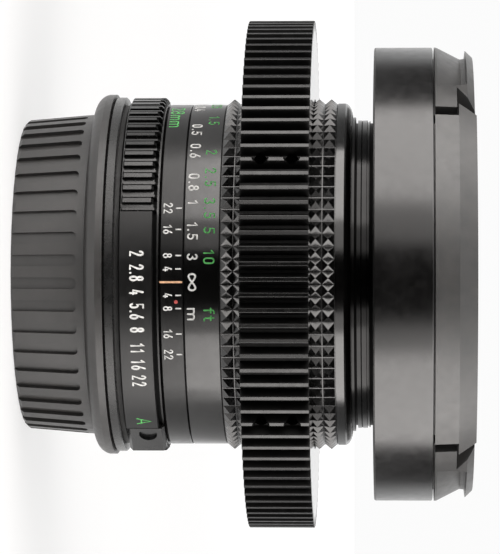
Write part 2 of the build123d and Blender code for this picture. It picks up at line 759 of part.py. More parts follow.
filter_rear = inner_front + seat_t + 0.9
filter_top = collar_z + collar_len * 0.6
groove = 0.5
filter_ring = turned(
    (filter_r + seat_gap, filter_rear + 1.0), (cell_r + 3.0, filter_rear),
    (filter_seat_r - seat_gap, filter_rear),
    (filter_seat_r - seat_gap, neck_z - 0.15), (flange_r - groove, neck_z - 0.15),
    (flange_r - groove, neck_z + 0.1), (flange_r, neck_z + 0.15), (flange_r, neck_z + 0.55),
    (collar_r - groove, neck_z + 0.6), (collar_r - groove, collar_z - 0.05), (collar_r, collar_z),
    (collar_r, collar_z + 0.65), (collar_r - 0.12, collar_z + 0.7), (collar_r - 0.12, collar_z + 0.8),
    (collar_r, collar_z + 0.85), (collar_r, filter_top - 0.05), (collar_r - 0.05, filter_top),
    (filter_r + seat_gap, filter_top),
)
step_bottom = filter_top - 2.6
plate_z = front_z + front_lip
step_up_ring = turned(
    (filter_r - step_wall, step_bottom), (filter_r, step_bottom), (filter_r, filter_top + 0.05),
    (collar_r - 0.3, filter_top + 0.05), (collar_r - 0.3, filter_top + 0.25),
    (collar_r - 0.1, filter_top + 0.3), (collar_r - 0.1, filter_top + 0.42),
    (collar_r - groove, filter_top + 0.5), (collar_r - groove, front_z - 0.05),
    (collar_r, front_z), (collar_r, plate_z),
    (front_thread_r, plate_z), (front_thread_r, plate_z + step_plate),
    (filter_r - step_wall, plate_z + step_plate),
)
front_ring = turned(
    (collar_r + seat_gap, front_z), (front_ring_r - 0.2, front_z), (front_ring_r, front_z + 0.2),
    (front_ring_r, front_z + front_ring_len - 0.15), (front_ring_r - 0.15, front_z + front_ring_len),
    (front_thread_r, front_z + front_ring_len), (front_thread_r, plate_z), (collar_r + seat_gap, plate_z),
)
cell_front = inner_front + seat_t + 2.2
nodes["filter_ring"] = filter_ring
nodes["step_up_ring"] = step_up_ring
nodes["front_ring"] = front_ring


# Glass elements and the two cells that hold them


def surface_z(vertex, radius, r):
    """Height of a spherical surface at a distance r from the axis."""
    drop = abs(radius) - math.sqrt(radius**2 - r**2)
    return vertex - math.copysign(drop, radius)


for name, (front, rear, r_front, r_rear, half, clear) in glass_table.items():
    front, rear = front + glass_z, rear + glass_z
    edge_front, edge_rear = surface_z(front, r_front, half), surface_z(rear, r_rear, clear)
    outline = ThreePointArc(
        (0, front), (half / 2, surface_z(front, r_front, half / 2)), (half, edge_front)
    ) + Line((half, edge_front), (half, edge_rear))
    if clear < half:
        outline += Line((half, edge_rear), (clear, edge_rear))
    outline += ThreePointArc(
        (clear, edge_rear), (clear / 2, surface_z(rear, r_rear, clear / 2)), (0, rear)
    ) + Line((0, rear), (0, front))
    nodes[name] = revolve(Plane.XZ * make_face(outline), Axis.Z)


def front_at(name, r):
    front, rear, r_front, r_rear, half, clear = glass_table[name]
    return surface_z(front + glass_z, r_front, min(r, half))


def rear_at(name, r):
    front, rear, r_front, r_rear, half, clear = glass_table[name]
    return surface_z(rear + glass_z, r_rear, min(r, clear))


def rear_seat(name, lip_r):
    """Bore of an element's seat, and the height of the lip that carries its rear surface."""
    half = glass_table[name][4]
    return half + seat_gap, min(rear_at(name, lip_r), rear_at(name, half))


def front_seat(name, lip_r):
    """Bore of an element's seat, and the height of the lip that its front surface rests against."""
    half = glass_table[name][4]
    return half + seat_gap, max(front_at(name, lip_r), front_at(name, half))


g4_lip = glass_table["glass_4"][4] - 0.65
g4_bore, g4_low = rear_seat("glass_4", g4_lip)
g3_bore, g3_low = rear_seat("glass_3", g4_bore)
g2_bore, g2_low = rear_seat("glass_2", g3_bore)
g1_bore, g1_low = rear_seat("glass_1", g2_bore)
cell_rear = iris_top + web_t + 0.1
front_cell = turned(
    (g4_lip, cell_rear), (cell_r - 0.6, cell_rear), (cell_r, cell_rear + 0.6),
    (cell_r, inner_front + seat_t), (cell_r + 2.4, inner_front + seat_t),
    (cell_r + 2.4, inner_front + seat_t + 0.8), (cell_r, inner_front + seat_t + 0.8),
    (cell_r, cell_front), (g1_bore, cell_front), (g1_bore, g1_low), (g2_bore, g1_low), (g2_bore, g2_low),
    (g3_bore, g2_low), (g3_bore, g3_low), (g4_bore, g3_low), (g4_bore, g4_low), (g4_lip, g4_low),
)
lock_wall = 0.9
front_lock_ring = ring(
    g1_bore, g1_bore - lock_wall, front_at("glass_1", g1_bore - lock_wall) + 0.02, cell_front - 0.1
)
spacer_wall = 1.2
front_spacer = ring(
    g3_bore - seat_gap, g3_bore - spacer_wall,
    front_at("glass_3", g3_bore - spacer_wall) + 0.02, rear_at("glass_2", g3_bore - spacer_wall) - 0.1,
)
nodes["front_cell"] = front_cell
nodes["front_lock_ring"] = front_lock_ring
nodes["front_spacer"] = front_spacer
nodes["trim_ring"] = ring(cell_r + 2.4, cell_r + 0.1, inner_front + seat_t + 0.9, cell_front)

collar_bore = iris_r - 3.9
collar_len_rear = 3.0
rear_cell_r = guard_r - 0.7
rear_front = iris_floor_z
g5_lip = glass_table["glass_5"][4] - 0.45
g5_bore, g5_high = front_seat("glass_5", g5_lip)
g7_bore, g7_high = front_seat("glass_7", g5_bore)
g8_bore, g8_high = front_seat("glass_8", g7_bore)
g9_bore, g9_high = front_seat("glass_9", g8_bore)
g10_bore, g10_high = front_seat("glass_10", g9_bore)
g10_low = rear_at("glass_10", g10_bore)
rear_cell = turned(
    (g10_bore, g10_low - 0.5), (rear_cell_r, g10_low - 0.5), (rear_cell_r, rear_front - collar_len_rear),
    (collar_bore, rear_front - collar_len_rear), (collar_bore, rear_front), (g5_lip, rear_front),
    (g5_lip, g5_high), (g5_bore, g5_high), (g5_bore, g7_high), (g7_bore, g7_high), (g7_bore, g8_high),
    (g8_bore, g8_high), (g8_bore, g9_high), (g9_bore, g9_high), (g9_bore, g10_high), (g10_bore, g10_high),
)
nodes["rear_cell"] = rear_cell
nodes["rear_lock_ring"] = ring(g10_bore, g10_bore - lock_wall, g10_low - 0.45, g10_low - 0.02)

# Iris: housing, eight blades in layers, and the rotor whose slots drive them

iris_in = iris_r - iris_wall
iris_housing = ring(iris_r, iris_in, iris_floor_z, iris_top)
iris_housing += ring(iris_r, iris_open_r + 0.6, iris_floor_z, iris_floor_z + iris_floor)
iris_housing += ring(collar_bore + 1.6, collar_bore, iris_floor_z - collar_len_rear, iris_floor_z + 0.2)
iris_housing -= around(
    axial(stud_r + seat_gap, iris_floor_z - 1, iris_floor_z + 2, pivot_r, 0.0), blade_count
)
iris_housing -= sector(
    iris_r + 1, iris_in - 1, rotor_z - 0.2, iris_top + 1,
    finger_turn - finger_half - 4.5, finger_turn + finger_half + 4.5 + lever_turn,
)
nodes["iris_housing"] = iris_housing


def flat_polar(r, angle):
    a = math.radians(angle - 90)
    return Vector(r * math.cos(a), r * math.sin(a))


def drive_place(turn):
    """Where the drive stud of the first blade is when the blade has turned."""
    pivot, stud = flat_polar(pivot_r, 0), flat_polar(pivot_r, -drive_lag)
    return pivot + (stud - pivot).rotate(Axis.Z, turn)


pivot_point, drive_point = flat_polar(pivot_r, 0), drive_place(0)
band_r = iris_open_r + blade_band / 2
blade_face = Circle(iris_open_r + blade_band) - Circle(iris_open_r)
far = 3 * pivot_r
wedge = [(0, 0)] + [
    (flat_polar(far, blade_arc * i / 4).X, flat_polar(far, blade_arc * i / 4).Y) for i in range(5)
]
blade_face &= make_face(Polyline(*wedge, close=True))
tip = flat_polar(band_r, blade_arc)
blade_face += Pos(tip.X, tip.Y) * Circle(blade_band / 2)
blade_face += SlotCenterToCenter((pivot_point - drive_point).length, 2 * ear_r).locate(
    Location(
        tuple((pivot_point + drive_point) / 2),
        (0, 0, math.degrees(math.atan2((pivot_point - drive_point).Y, (pivot_point - drive_point).X))),
    )
)
root = flat_polar(band_r, 6.0)
blade_face += SlotCenterToCenter((pivot_point - root).length, 2 * ear_r).locate(
    Location(
        tuple((pivot_point + root) / 2),
        (0, 0, math.degrees(math.atan2((pivot_point - root).Y, (pivot_point - root).X))),
    )
)
for i in range(blade_count):
    low = blades_z + blade_pitch * i
    blade = Pos(0, 0, low) * extrude(blade_face, blade_t)
    down = low - (iris_floor_z + 0.1)
    blade += Pos(pivot_point.X, pivot_point.Y, iris_floor_z + 0.1) * Cylinder(
        stud_r, down + blade_t / 2, align=(Align.CENTER, Align.CENTER, Align.MIN)
    )
    blade += Pos(drive_point.X, drive_point.Y, low + blade_t / 2) * Cylinder(
        stud_r, rotor_z + rotor_t - 0.1 - low, align=(Align.CENTER, Align.CENTER, Align.MIN)
    )
    nodes[f"iris_blade_{i + 1}"] = Rot(0, 0, 360 * i / blade_count) * blade

rotor = ring(iris_in - run_gap, rotor_in_r, rotor_z, rotor_z + rotor_t)
slot_steps = 6
path = []
for i in range(slot_steps + 1):
    share = i / slot_steps
    path.append(drive_place(blade_turn * share).rotate(Axis.Z, -lever_turn * share))
slots = []
for p, q in zip(path, path[1:]):
    middle, along = (p + q) / 2, q - p
    slot = SlotCenterToCenter(along.length, 2 * (stud_r + run_gap))
    slots.append(
        Pos(middle.X, middle.Y, rotor_z - 1)
        * Rot(0, 0, math.degrees(math.atan2(along.Y, along.X)))
        * extrude(slot, rotor_t + 2)
    )
rotor -= [Rot(0, 0, 360 * i / blade_count) * s for i in range(blade_count) for s in slots]
fork_rear = iris_floor_z + 0.3 - extension
fork_half = finger_half + 3.0
rotor += sector(
    finger_r + 1.0, iris_in - 1.5, rotor_z, rotor_z + rotor_t,
    finger_turn - fork_half, finger_turn + fork_half,
)
rotor += sector(
    finger_r + 1.0, finger_r, fork_rear, rotor_z + 0.5,
    finger_turn - fork_half, finger_turn + fork_half,
)
slot_half = finger_half + math.degrees(0.12 / finger_r)
rotor -= sector(
    finger_r + 2, finger_r - 0.5, fork_rear - 1, finger_top + 0.5,
    finger_turn - slot_half, finger_turn + slot_half,
)
nodes["iris_rotor"] = rotor

# Front cap: body with two walls, two sprung levers, their springs and the plate behind them

plate_rear = top_z - cap_plate
body_outline = make_face(
    Polyline(
        (0, top_z), (cap_face_r, top_z), (cap_rim_r - 0.2, cap_z + 4.0), (cap_rim_r, cap_z),
        (front_thread_r - 0.4, cap_z), (front_thread_r - 0.4, cap_z - cap_skirt_len),
        (front_thread_r - 0.4 - cap_skirt_wall, cap_z - cap_skirt_len),
        (front_thread_r - 0.4 - cap_skirt_wall, plate_rear), (0, plate_rear), close=True,
    )
)
cap_body = revolve(Plane.XZ * body_outline, Axis.Z)
skirt_low = cap_z - cap_skirt_len - 1
tooth_z = cap_z + 4.0
far_r = front_ring_r + 3
for middle in (90.0, -90.0):
    half = 90 - cap_wall_half
    cap_body -= sector(far_r, cap_notch_r, skirt_low, tooth_z, middle - half, middle + half)
    notch = ring(far_r, cap_notch_r, tooth_z - 0.01, top_z + 1)
    cap_body -= notch & block(2 * cap_tooth_y, 0, far_r, tooth_z - 1, top_z + 2, middle)
tongue_z = plate_rear - 0.3 - tongue_t
back_plate_t = 1.2
back_plate_r = cap_notch_r - 0.5
back_z = tongue_z - 0.3 - back_plate_t
for sx in (-1, 1):
    for sy in (-1, 1):
        rail = Pos(sx * 17.5, sy * (tongue_half + 1.15), back_z + back_plate_t) * Box(
            12.0, 2.0, plate_rear - back_z - back_plate_t + 0.1,
            align=(Align.CENTER, Align.CENTER, Align.MIN),
        )
        cap_body += rail
        peg = Pos(sx * 17.5, sy * (tongue_half + 1.15), back_z - 0.2)
        cap_body += peg * Cylinder(0.8, 3.0, align=(Align.CENTER, Align.CENTER, Align.MIN))
back_plate = ring(back_plate_r, 0, back_z, back_z + back_plate_t)
for sx in (-1, 1):
    for sy in (-1, 1):
        back_plate -= Pos(sx * 17.5, sy * (tongue_half + 1.15), back_z) * Cylinder(0.8 + seat_gap, 5)

lever_out = cap_rim_r + 0.1
lever_top = top_z - 0.3
lever_profile = make_face(
    Polyline(
        (lever_in_r, plate_rear - 2.2), (lever_in_r, lever_top - 0.2), (lever_in_r + 0.2, lever_top),
        (cap_face_r, lever_top), (cap_rim_r - 0.55, lever_top - 1.2), (cap_rim_r - 0.1, tooth_z),
        (lever_out, cap_z + 0.05),
        (front_thread_r - 0.15, cap_z + 0.05), (front_thread_r - 0.15, cap_z - cap_skirt_len + 0.3),
        (front_thread_r - 0.15 - 1.4, cap_z - cap_skirt_len + 0.3),
        (front_thread_r - 0.15 - 1.4, plate_rear - 2.2), close=True,
    )
)
lever = Rot(0, 0, -lever_front_half) * revolve(Plane.XZ * lever_profile, Axis.Z, 2 * lever_front_half)
notch_z = tooth_z - 0.3
for side in (-1, 1):
    # Below the notch the lever ends on a radius, above it on a slope that clears the body's tooth
    near, beyond = 90 + side * lever_half, 90 + side * (lever_front_half + 2)
    lever -= sector(far_r, cap_notch_r, skirt_low, notch_z, min(near, beyond), max(near, beyond))
    slope = make_face(
        Polyline(
            (side * lever_notch_y, notch_z - 0.01), (side * lever_end_y, lever_top),
            (side * lever_end_y, top_z + 1), (side * far_r, top_z + 1), (side * far_r, notch_z - 0.01),
            close=True,
        )
    )
    lever -= extrude(Plane.YZ * slope, far_r)
scoop = Rot(0, 0, -lever_half) * revolve(
    Plane.XZ * make_face(
        Polyline(
            (lever_out + 0.4, cap_z - 1), (lever_out + 0.2, cap_z),
            (lever_out - scoop_depth, lever_top - 2.2), (lever_out - scoop_depth + 0.1, lever_top - 1.4),
            (lever_out + 1.2, lever_top - 1.0), (lever_out + 2, cap_z - 1), close=True,
        )
    ),
    Axis.Z, 2 * lever_half,
)
# The scoop ends in round corners, which leave an ear at each end of the lever
corner_z = lever_top - 1.0 - scoop_corner_r
corner_turn = math.degrees(scoop_corner_r / lever_out)
reach = sector(far_r, lever_in_r, cap_z - 1, top_z, 90 - scoop_half, 90 + scoop_half)
reach += sector(
    far_r, lever_in_r, cap_z - 1, corner_z,
    90 - scoop_half - corner_turn, 90 + scoop_half + corner_turn,
)
for side in (-1, 1):
    reach += radial(scoop_corner_r, lever_in_r, far_r, corner_z, 90 + side * scoop_half)
lever -= scoop & reach
tongue = Pos((tongue_end + lever_in_r + 1) / 2, 0, tongue_z + tongue_t / 2) * Box(
    lever_in_r + 1 - tongue_end, 2 * tongue_half, tongue_t
)
tongue &= Pos(0, 0, tongue_z) * extrude(
    Circle(lever_in_r + 1.0), tongue_t
)
lever += tongue
lever += Pos(tongue_end + 1.0, 0, tongue_z + tongue_t / 2) * Box(2.0, 2 * tongue_half + 4.0, tongue_t)
cap_levers = {"cap_lever_right": lever, "cap_lever_left": Rot(0, 0, 180) * lever}
spring_mid = tongue_z + tongue_t / 2
cap_springs = [
    Pos(0, y, spring_mid) * Rot(0, 90, 0) * (
        Cylinder(spring_out_r, 2 * tongue_end) - Cylinder(spring_in_r, 2 * tongue_end + 1)
    )
    for y in (-spring_y, spring_y)
]
twist = Rot(0, 0, cap_turn)
nodes["front_cap"] = twist * cap_body
nodes["cap_back_plate"] = twist * back_plate
nodes["cap_springs"] = group([twist * s for s in cap_springs])
for name, shape in cap_levers.items():
    nodes[name] = twist * shape

os.makedirs("parts", exist_ok=True)
for name, shape in nodes.items():
    export_step(shape, f"parts/{name}.step")
print(len(nodes), "nodes, height", round(top_z, 2), "gear tips", round(2 * tip_r, 2))
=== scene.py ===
# %% [markdown]
# A manual focus wide-angle lens that stands on its rear cap. It wears a follow-focus gear, a wide
# front ring and a front cap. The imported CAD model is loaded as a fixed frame. Its parts are turned
# metal, so most of them stay as they are and only get a finish.

# %% Load the frame
import bmesh
import bpy
import math
from mathutils import Matrix, Vector


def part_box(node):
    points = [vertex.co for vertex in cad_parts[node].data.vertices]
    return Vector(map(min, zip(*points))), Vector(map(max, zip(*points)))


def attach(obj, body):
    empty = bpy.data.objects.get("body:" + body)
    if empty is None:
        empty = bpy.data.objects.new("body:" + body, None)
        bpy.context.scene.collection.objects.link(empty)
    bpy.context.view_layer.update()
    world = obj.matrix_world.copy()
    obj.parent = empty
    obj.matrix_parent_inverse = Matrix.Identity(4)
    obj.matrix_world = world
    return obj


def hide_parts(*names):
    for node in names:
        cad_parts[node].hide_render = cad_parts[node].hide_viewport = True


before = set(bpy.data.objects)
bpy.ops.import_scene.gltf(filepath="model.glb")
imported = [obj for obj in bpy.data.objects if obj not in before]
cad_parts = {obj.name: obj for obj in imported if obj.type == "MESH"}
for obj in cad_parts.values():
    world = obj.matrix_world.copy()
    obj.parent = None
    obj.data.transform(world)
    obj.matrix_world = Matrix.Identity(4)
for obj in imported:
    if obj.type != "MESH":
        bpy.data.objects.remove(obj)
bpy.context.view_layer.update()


def in_mm(lengths, digits=1):
    return [round(length * 1000, digits) for length in lengths]


# %% [markdown]
# Angles on the lens are counted round its axis, from the side that faces the camera towards +X.
# One helper gives the point at an angle, a radius and a height. Lengths are in metres.

# %% Places on the lens
MM = 0.001
INDEX_TURN = 2.56


def around_axis(turn, radius, height):
    a = math.radians(turn)
    return Vector((radius * math.sin(a), -radius * math.cos(a), height))


print("index at", in_mm(around_axis(INDEX_TURN, 30 * MM, 27 * MM)))

# %% [markdown]
# Every finish is made with shader nodes, and they all start with a Principled shader. A value that
# is the same all over is set on the shader itself. Patterns read Object coordinates, which need no
# unwrapping and turn with the piece.

# %% A start for every finish
finishes = {}


def start_finish(name, colour, metallic=0.0, roughness=0.5, specular=0.5):
    """A new finish: its nodes, its shader and the place of each point on the piece."""
    material = bpy.data.materials.new(name)
    material.use_nodes = True
    tree = material.node_tree
    shader = tree.nodes["Principled BSDF"]
    shader.inputs["Base Color"].default_value = (*colour, 1)
    shader.inputs["Metallic"].default_value = metallic
    shader.inputs["Roughness"].default_value = roughness
    shader.inputs["Specular IOR Level"].default_value = specular
    finishes[name] = material
    return tree, shader, tree.nodes.new("ShaderNodeTexCoord").outputs["Object"]


print("finishes so far", len(finishes))

# %% [markdown]
# No real surface is the same all over. Noise breaks up the colour, the gloss and the surface a
# little. The few nodes that this takes are always joined in the same way, so each has a helper.

# %% Noise in a finish
NOISE_LOW, NOISE_HIGH = 0.3, 0.7
RAMP_ENDS = (0.35, 0.65)


def grain(tree, place, size, detail=2):
    """Soft random patches, size in metres."""
    noise = tree.nodes.new("ShaderNodeTexNoise")
    noise.inputs["Scale"].default_value = 1 / size
    noise.inputs["Detail"].default_value = detail
    tree.links.new(place, noise.inputs["Vector"])
    return noise.outputs["Fac"]


def spread(tree, value, low, high, from_low=NOISE_LOW, from_high=NOISE_HIGH):
    """Stretches a value from one range to another. A noise mostly stays in its usual range."""
    node = tree.nodes.new("ShaderNodeMapRange")
    node.inputs["From Min"].default_value = from_low
    node.inputs["From Max"].default_value = from_high
    node.inputs["To Min"].default_value = low
    node.inputs["To Max"].default_value = high
    tree.links.new(value, node.inputs["Value"])
    return node.outputs["Result"]


def two_colours(tree, value, first, second, socket):
    """Feeds a socket with a colour between the first and the second."""
    ramp = tree.nodes.new("ShaderNodeValToRGB")
    for i, (position, colour) in enumerate(zip(RAMP_ENDS, (first, second))):
        ramp.color_ramp.elements[i].position = position
        ramp.color_ramp.elements[i].color = (*colour, 1)
    tree.links.new(value, ramp.inputs["Fac"])
    tree.links.new(ramp.outputs["Color"], socket)


def raise_surface(tree, shader, value, height):
    bump = tree.nodes.new("ShaderNodeBump")
    bump.inputs["Distance"].default_value = height
    tree.links.new(value, bump.inputs["Height"])
    tree.links.new(bump.outputs["Normal"], shader.inputs["Normal"])


def mottled(name, dark, light, rough, specular, dye, gloss, texture, height):
    """Varies colour, gloss and surface. dye, gloss and texture are a noise's size and detail."""
    tree, shader, place = start_finish(name, dark, specular=specular)
    two_colours(tree, grain(tree, place, *dye), dark, light, shader.inputs["Base Color"])
    tree.links.new(spread(tree, grain(tree, place, *gloss), *rough), shader.inputs["Roughness"])
    raise_surface(tree, shader, grain(tree, place, *texture), height)


print("noise runs from", NOISE_LOW, "to", NOISE_HIGH)

# %% [markdown]
# The barrel, the rings and the front ring are bead-blasted aluminium, anodised black. Up close the
# blasting leaves a very fine grain, and the dye varies a little from place to place. One helper
# makes them all, so that they differ only in how dark and how glossy they are.

# %% Satin anodised metal
DYE_PATCH, GLOSS_PATCH = (6 * MM, 4), (1.5 * MM, 5)
DEEP_BLACK = (0.0016, 0.0016, 0.0016), (0.0036, 0.0035, 0.0034)


def satin_black(name, dark, light, rough, blast, height, specular=0.5):
    """blast is the size of the blasted grain and height is its height, in millimetres."""
    texture = (blast * MM, 2)
    mottled(name, dark, light, rough, specular, DYE_PATCH, GLOSS_PATCH, texture, height * MM)


satin_black("barrel_satin", (0.0020, 0.0020, 0.0020), (0.0045, 0.0043, 0.0043),
            rough=(0.20, 0.27), blast=0.25, height=0.005, specular=0.55)
satin_black("scale_satin", *DEEP_BLACK, rough=(0.15, 0.20), blast=0.25, height=0.004, specular=0.85)
satin_black("tube_satin", (0.0012, 0.0012, 0.0012), (0.0028, 0.0026, 0.0026),
            rough=(0.13, 0.18), blast=0.25, height=0.003, specular=1.0)
satin_black("collar_satin", (0.0012, 0.0012, 0.0012), (0.0028, 0.0027, 0.0026),
            rough=(0.14, 0.20), blast=0.25, height=0.003, specular=0.32)
satin_black("front_satin", (0.0022, 0.0021, 0.0021), (0.0048, 0.0045, 0.0045),
            rough=(0.20, 0.26), blast=0.22, height=0.005, specular=0.95)
satin_black("gear_black", *DEEP_BLACK, rough=(0.20, 0.30), blast=0.4, height=0.004, specular=0.8)
satin_black("knurl_black", *DEEP_BLACK, rough=(0.19, 0.27), blast=0.3, height=0.003, specular=1.0)
satin_black("mount_lacquer", (0.005, 0.005, 0.005), (0.009, 0.009, 0.009),
            rough=(0.24, 0.32), blast=0.3, height=0.005, specular=0.8)
satin_black("inner_black", (0.010, 0.010, 0.010), (0.018, 0.018, 0.018),
            rough=(0.5, 0.62), blast=0.3, height=0.01)
satin_black("blade_oxide", (0.012, 0.012, 0.013), (0.022, 0.022, 0.024),
            rough=(0.42, 0.55), blast=1.2, height=0.002)
satin_black("button_gloss", (0.005, 0.005, 0.005), (0.008, 0.008, 0.008),
            rough=(0.16, 0.24), blast=0.8, height=0.002)
print("satin blacks", len(finishes))

# %% [markdown]
# The aperture ring has two surfaces. Its ribbed half is satin like the barrel, but the half with
# the numbers is sprayed matte, so that they can be read. The groove beside the next ring gets
# painted shade: a near-black finish that reflects almost nothing.

# %% Aperture ring finishes
satin_black("aperture_satin", (0.0030, 0.0030, 0.0030), (0.0060, 0.0058, 0.0058),
            rough=(0.20, 0.28), blast=0.25, height=0.006, specular=0.9)
satin_black("aperture_matte", (0.0016, 0.0016, 0.0016), (0.0034, 0.0033, 0.0033),
            rough=(0.30, 0.38), blast=0.25, height=0.006, specular=0.62)
# Painted shade for grooves: a near-black finish that reflects almost nothing.
satin_black("groove_painted_shade", (0.0007, 0.0007, 0.0007), (0.0014, 0.0014, 0.0014),
            rough=(0.32, 0.42), blast=0.4, height=0.004, specular=0.04)
print("finishes", len(finishes))

# %% [markdown]
# Both caps are moulded plastic with a spark-eroded texture, so they are greyer and more matte than
# the metal. A fine grain makes the bump, and larger patches change the gloss where hands rub.

# %% Moulded cap plastic
def cap_plastic(name, dark, light, rough):
    mottled(name, dark, light, rough, specular=0.9, dye=(3 * MM, 5), gloss=(1.2 * MM, 4),
            texture=(0.16 * MM, 3), height=0.012 * MM)


cap_plastic("rear_cap_plastic", (0.020, 0.019, 0.018), (0.027, 0.025, 0.024), (0.34, 0.44))
cap_plastic("front_cap_plastic", (0.040, 0.040, 0.040), (0.052, 0.051, 0.050), (0.33, 0.42))
print("finishes", len(finishes))

# %% [markdown]
# Bare metal hides inside: bright steel levers and springs, brass threads and blackened screws. A
# turned or rolled metal shows fine lines. A noise that is squeezed along the axis gives them, and
# the same noise sets the colour, the gloss and the height.

# %% Bare metals
LINE_SIZE, LINE_HEIGHT = 0.5 * MM, 0.004 * MM


def bare_metal(name, dark, light, rough, squeeze):
    tree, shader, place = start_finish(name, dark, metallic=1.0)
    mapping = tree.nodes.new("ShaderNodeMapping")
    mapping.inputs["Scale"].default_value = (1, 1, squeeze)
    tree.links.new(place, mapping.inputs["Vector"])
    lines = grain(tree, mapping.outputs["Vector"], LINE_SIZE, 3)
    two_colours(tree, lines, dark, light, shader.inputs["Base Color"])
    tree.links.new(spread(tree, lines, *rough), shader.inputs["Roughness"])
    raise_surface(tree, shader, lines, LINE_HEIGHT)


bare_metal("steel_bright", (0.50, 0.50, 0.51), (0.62, 0.62, 0.62), (0.22, 0.36), squeeze=6)
bare_metal("brass_turned", (0.60, 0.42, 0.17), (0.74, 0.55, 0.26), (0.24, 0.38), squeeze=8)
bare_metal("screw_black", (0.035, 0.035, 0.038), (0.07, 0.07, 0.075), (0.24, 0.36), squeeze=1)
print("finishes", len(finishes))

# %% [markdown]
# The lens elements are clear glass with a thin coating that reflects violet and green. The coating
# is a coat on the shader, only faintly tinted because light passes twenty of them, and Layer
# Weight turns the colour of the reflection towards the rim.

# %% Coated glass
CLEAR_GLASS = (0.93, 0.96, 0.95)
COAT_CLEAR, COAT_TINTED = 0.85, 0.15


def coated_glass(name, tint, rim):
    tree, shader, place = start_finish(name, CLEAR_GLASS, roughness=0.02)
    shader.inputs["Transmission Weight"].default_value = 1.0
    shader.inputs["IOR"].default_value = 1.6
    shader.inputs["Coat Weight"].default_value = 0.5
    shader.inputs["Coat Roughness"].default_value = 0.02
    coat = (COAT_CLEAR + COAT_TINTED * c for c in tint)
    shader.inputs["Coat Tint"].default_value = (*coat, 1)
    layer = tree.nodes.new("ShaderNodeLayerWeight")
    layer.inputs["Blend"].default_value = 0.4
    two_colours(tree, layer.outputs["Facing"], tint, rim, shader.inputs["Specular Tint"])
    smears = spread(tree, grain(tree, place, 5 * MM, 3), 0.0, 0.03)
    tree.links.new(smears, shader.inputs["Roughness"])


coated_glass("glass_violet", (0.62, 0.45, 1.0), (0.35, 0.75, 0.6))
coated_glass("glass_green", (0.40, 0.85, 0.65), (0.8, 0.5, 0.4))
print("finishes", len(finishes))

# %% [markdown]
# The scales are engraved and filled with paint: white, green and orange, and red for the infrared
# dot. Old paint is a little uneven, so a fine noise varies its colour.

# %% Scale paints
PAINT_WORN = 0.72


def scale_paint(name, colour):
    tree, shader, place = start_finish(name, colour, specular=0.3)
    worn = tuple(PAINT_WORN * c for c in colour)
    two_colours(tree, grain(tree, place, 0.5 * MM, 3), worn, colour, shader.inputs["Base Color"])
    raise_surface(tree, shader, grain(tree, place, 0.2 * MM), 0.01 * MM)


scale_paint("paint_white", (0.92, 0.92, 0.90))
scale_paint("paint_green", (0.13, 0.58, 0.15))
scale_paint("paint_orange", (1.0, 0.60, 0.36))
scale_paint("paint_red", (0.62, 0.12, 0.11))
print("finishes", sorted(finishes))

# %% [markdown]
# A table says which CAD nodes wear which finish. Each node keeps its mesh, and only its material
# changes.

# %% Finish of each CAD node
wears = {
    "rear_cap_plastic": ["rear_cap"],
    "front_cap_plastic": ["front_cap", "cap_lever_left", "cap_lever_right", "cap_back_plate"],
    "mount_lacquer": ["mount_ring"],
    "barrel_satin": ["dof_scale_ring", "mount_lock_button"],
    "aperture_satin": ["aperture_ring"],
    "collar_satin": ["filter_ring", "step_up_ring"],
    "scale_satin": ["distance_scale_ring"],
    "tube_satin": ["front_barrel"],
    "front_satin": ["front_ring"],
    "gear_black": ["gear_ring"],
    "knurl_black": ["focus_grip"],
    "inner_black": [
        "fixed_barrel", "rear_baffle", "lens_barrel", "trim_ring", "front_cell", "front_lock_ring",
        "front_spacer", "rear_cell", "rear_lock_ring", "iris_housing", "focus_ring",
    ],
    "button_gloss": ["ae_lock_button"],
    "screw_black": ["mount_screws", "gear_set_screws", "focus_ring_screws", "front_barrel_screws"],
    "steel_bright": [
        "click_spring", "barrel_screws", "stopdown_lever", "stopdown_spring", "signal_lever",
        "cap_springs", "iris_rotor", "guide_keys",
    ],
    "brass_turned": ["focus_helicoid", "helicoid_retainer"],
    "blade_oxide": [f"iris_blade_{i}" for i in range(1, 9)],
    "glass_violet": [f"glass_{i}" for i in (1, 3, 5, 7, 9)],
    "glass_green": [f"glass_{i}" for i in (2, 4, 6, 8, 10)],
}
for finish, names in wears.items():
    for name in names:
        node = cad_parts[name]
        node.data.materials.clear()
        node.data.materials.append(finishes[finish])
dressed = sum(len(names) for names in wears.values())
print("dressed", dressed, "of", len(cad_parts))

# %% [markdown]
# The marks lie on round rings, so text can't just be set down on them. It is made flat, turned
# into a mesh, and then each of its points is carried round the ring: across the text becomes an
# angle, up becomes the height and its thickness becomes the radius. That keeps every mark at its
# exact angle and lets it turn with the ring as one piece.

# %% Wrap a flat mesh round a ring
marks = []


def wrap(piece, turn, radius, height):
    for vertex in piece.data.vertices:
        across, up, out = vertex.co
        vertex.co = around_axis(turn + math.degrees(across / radius), radius + out, height + up)
    piece.data.update()
    return piece


def finish_piece(piece, name, material, body):
    piece.name = piece.data.name = name
    piece.data.materials.clear()
    piece.data.materials.append(finishes[material])
    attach(piece, body)


def set_mark(piece, name, delta, radius, foot, paint, body):
    """Sets a flat mark on its ring, delta degrees from the index."""
    wrap(piece, INDEX_TURN + delta, radius, foot)
    finish_piece(piece, name, paint, body)
    marks.append(name)


print("1 mm covers", round(math.degrees(1 / 30), 2), "degrees of a ring of radius 30 mm")

# %% [markdown]
# The numbers on a lens are engraved with a round cutter that follows a line, so every stroke has
# the same width. A text font hasn't got that look. Here each character is a few lines and arcs on
# a grid that is 1 high.

# %% Characters as lines
def arc(cx, cy, rx, ry, start, end, steps=10):
    turns = [math.radians(start + (end - start) * i / steps) for i in range(steps + 1)]
    return [(cx + rx * math.cos(a), cy + ry * math.sin(a)) for a in turns]


def arch(left):
    return [(left, 0.46)] + arc(left + 0.17, 0.48, 0.17, 0.19, 180, 0) + [(left + 0.34, 0)]


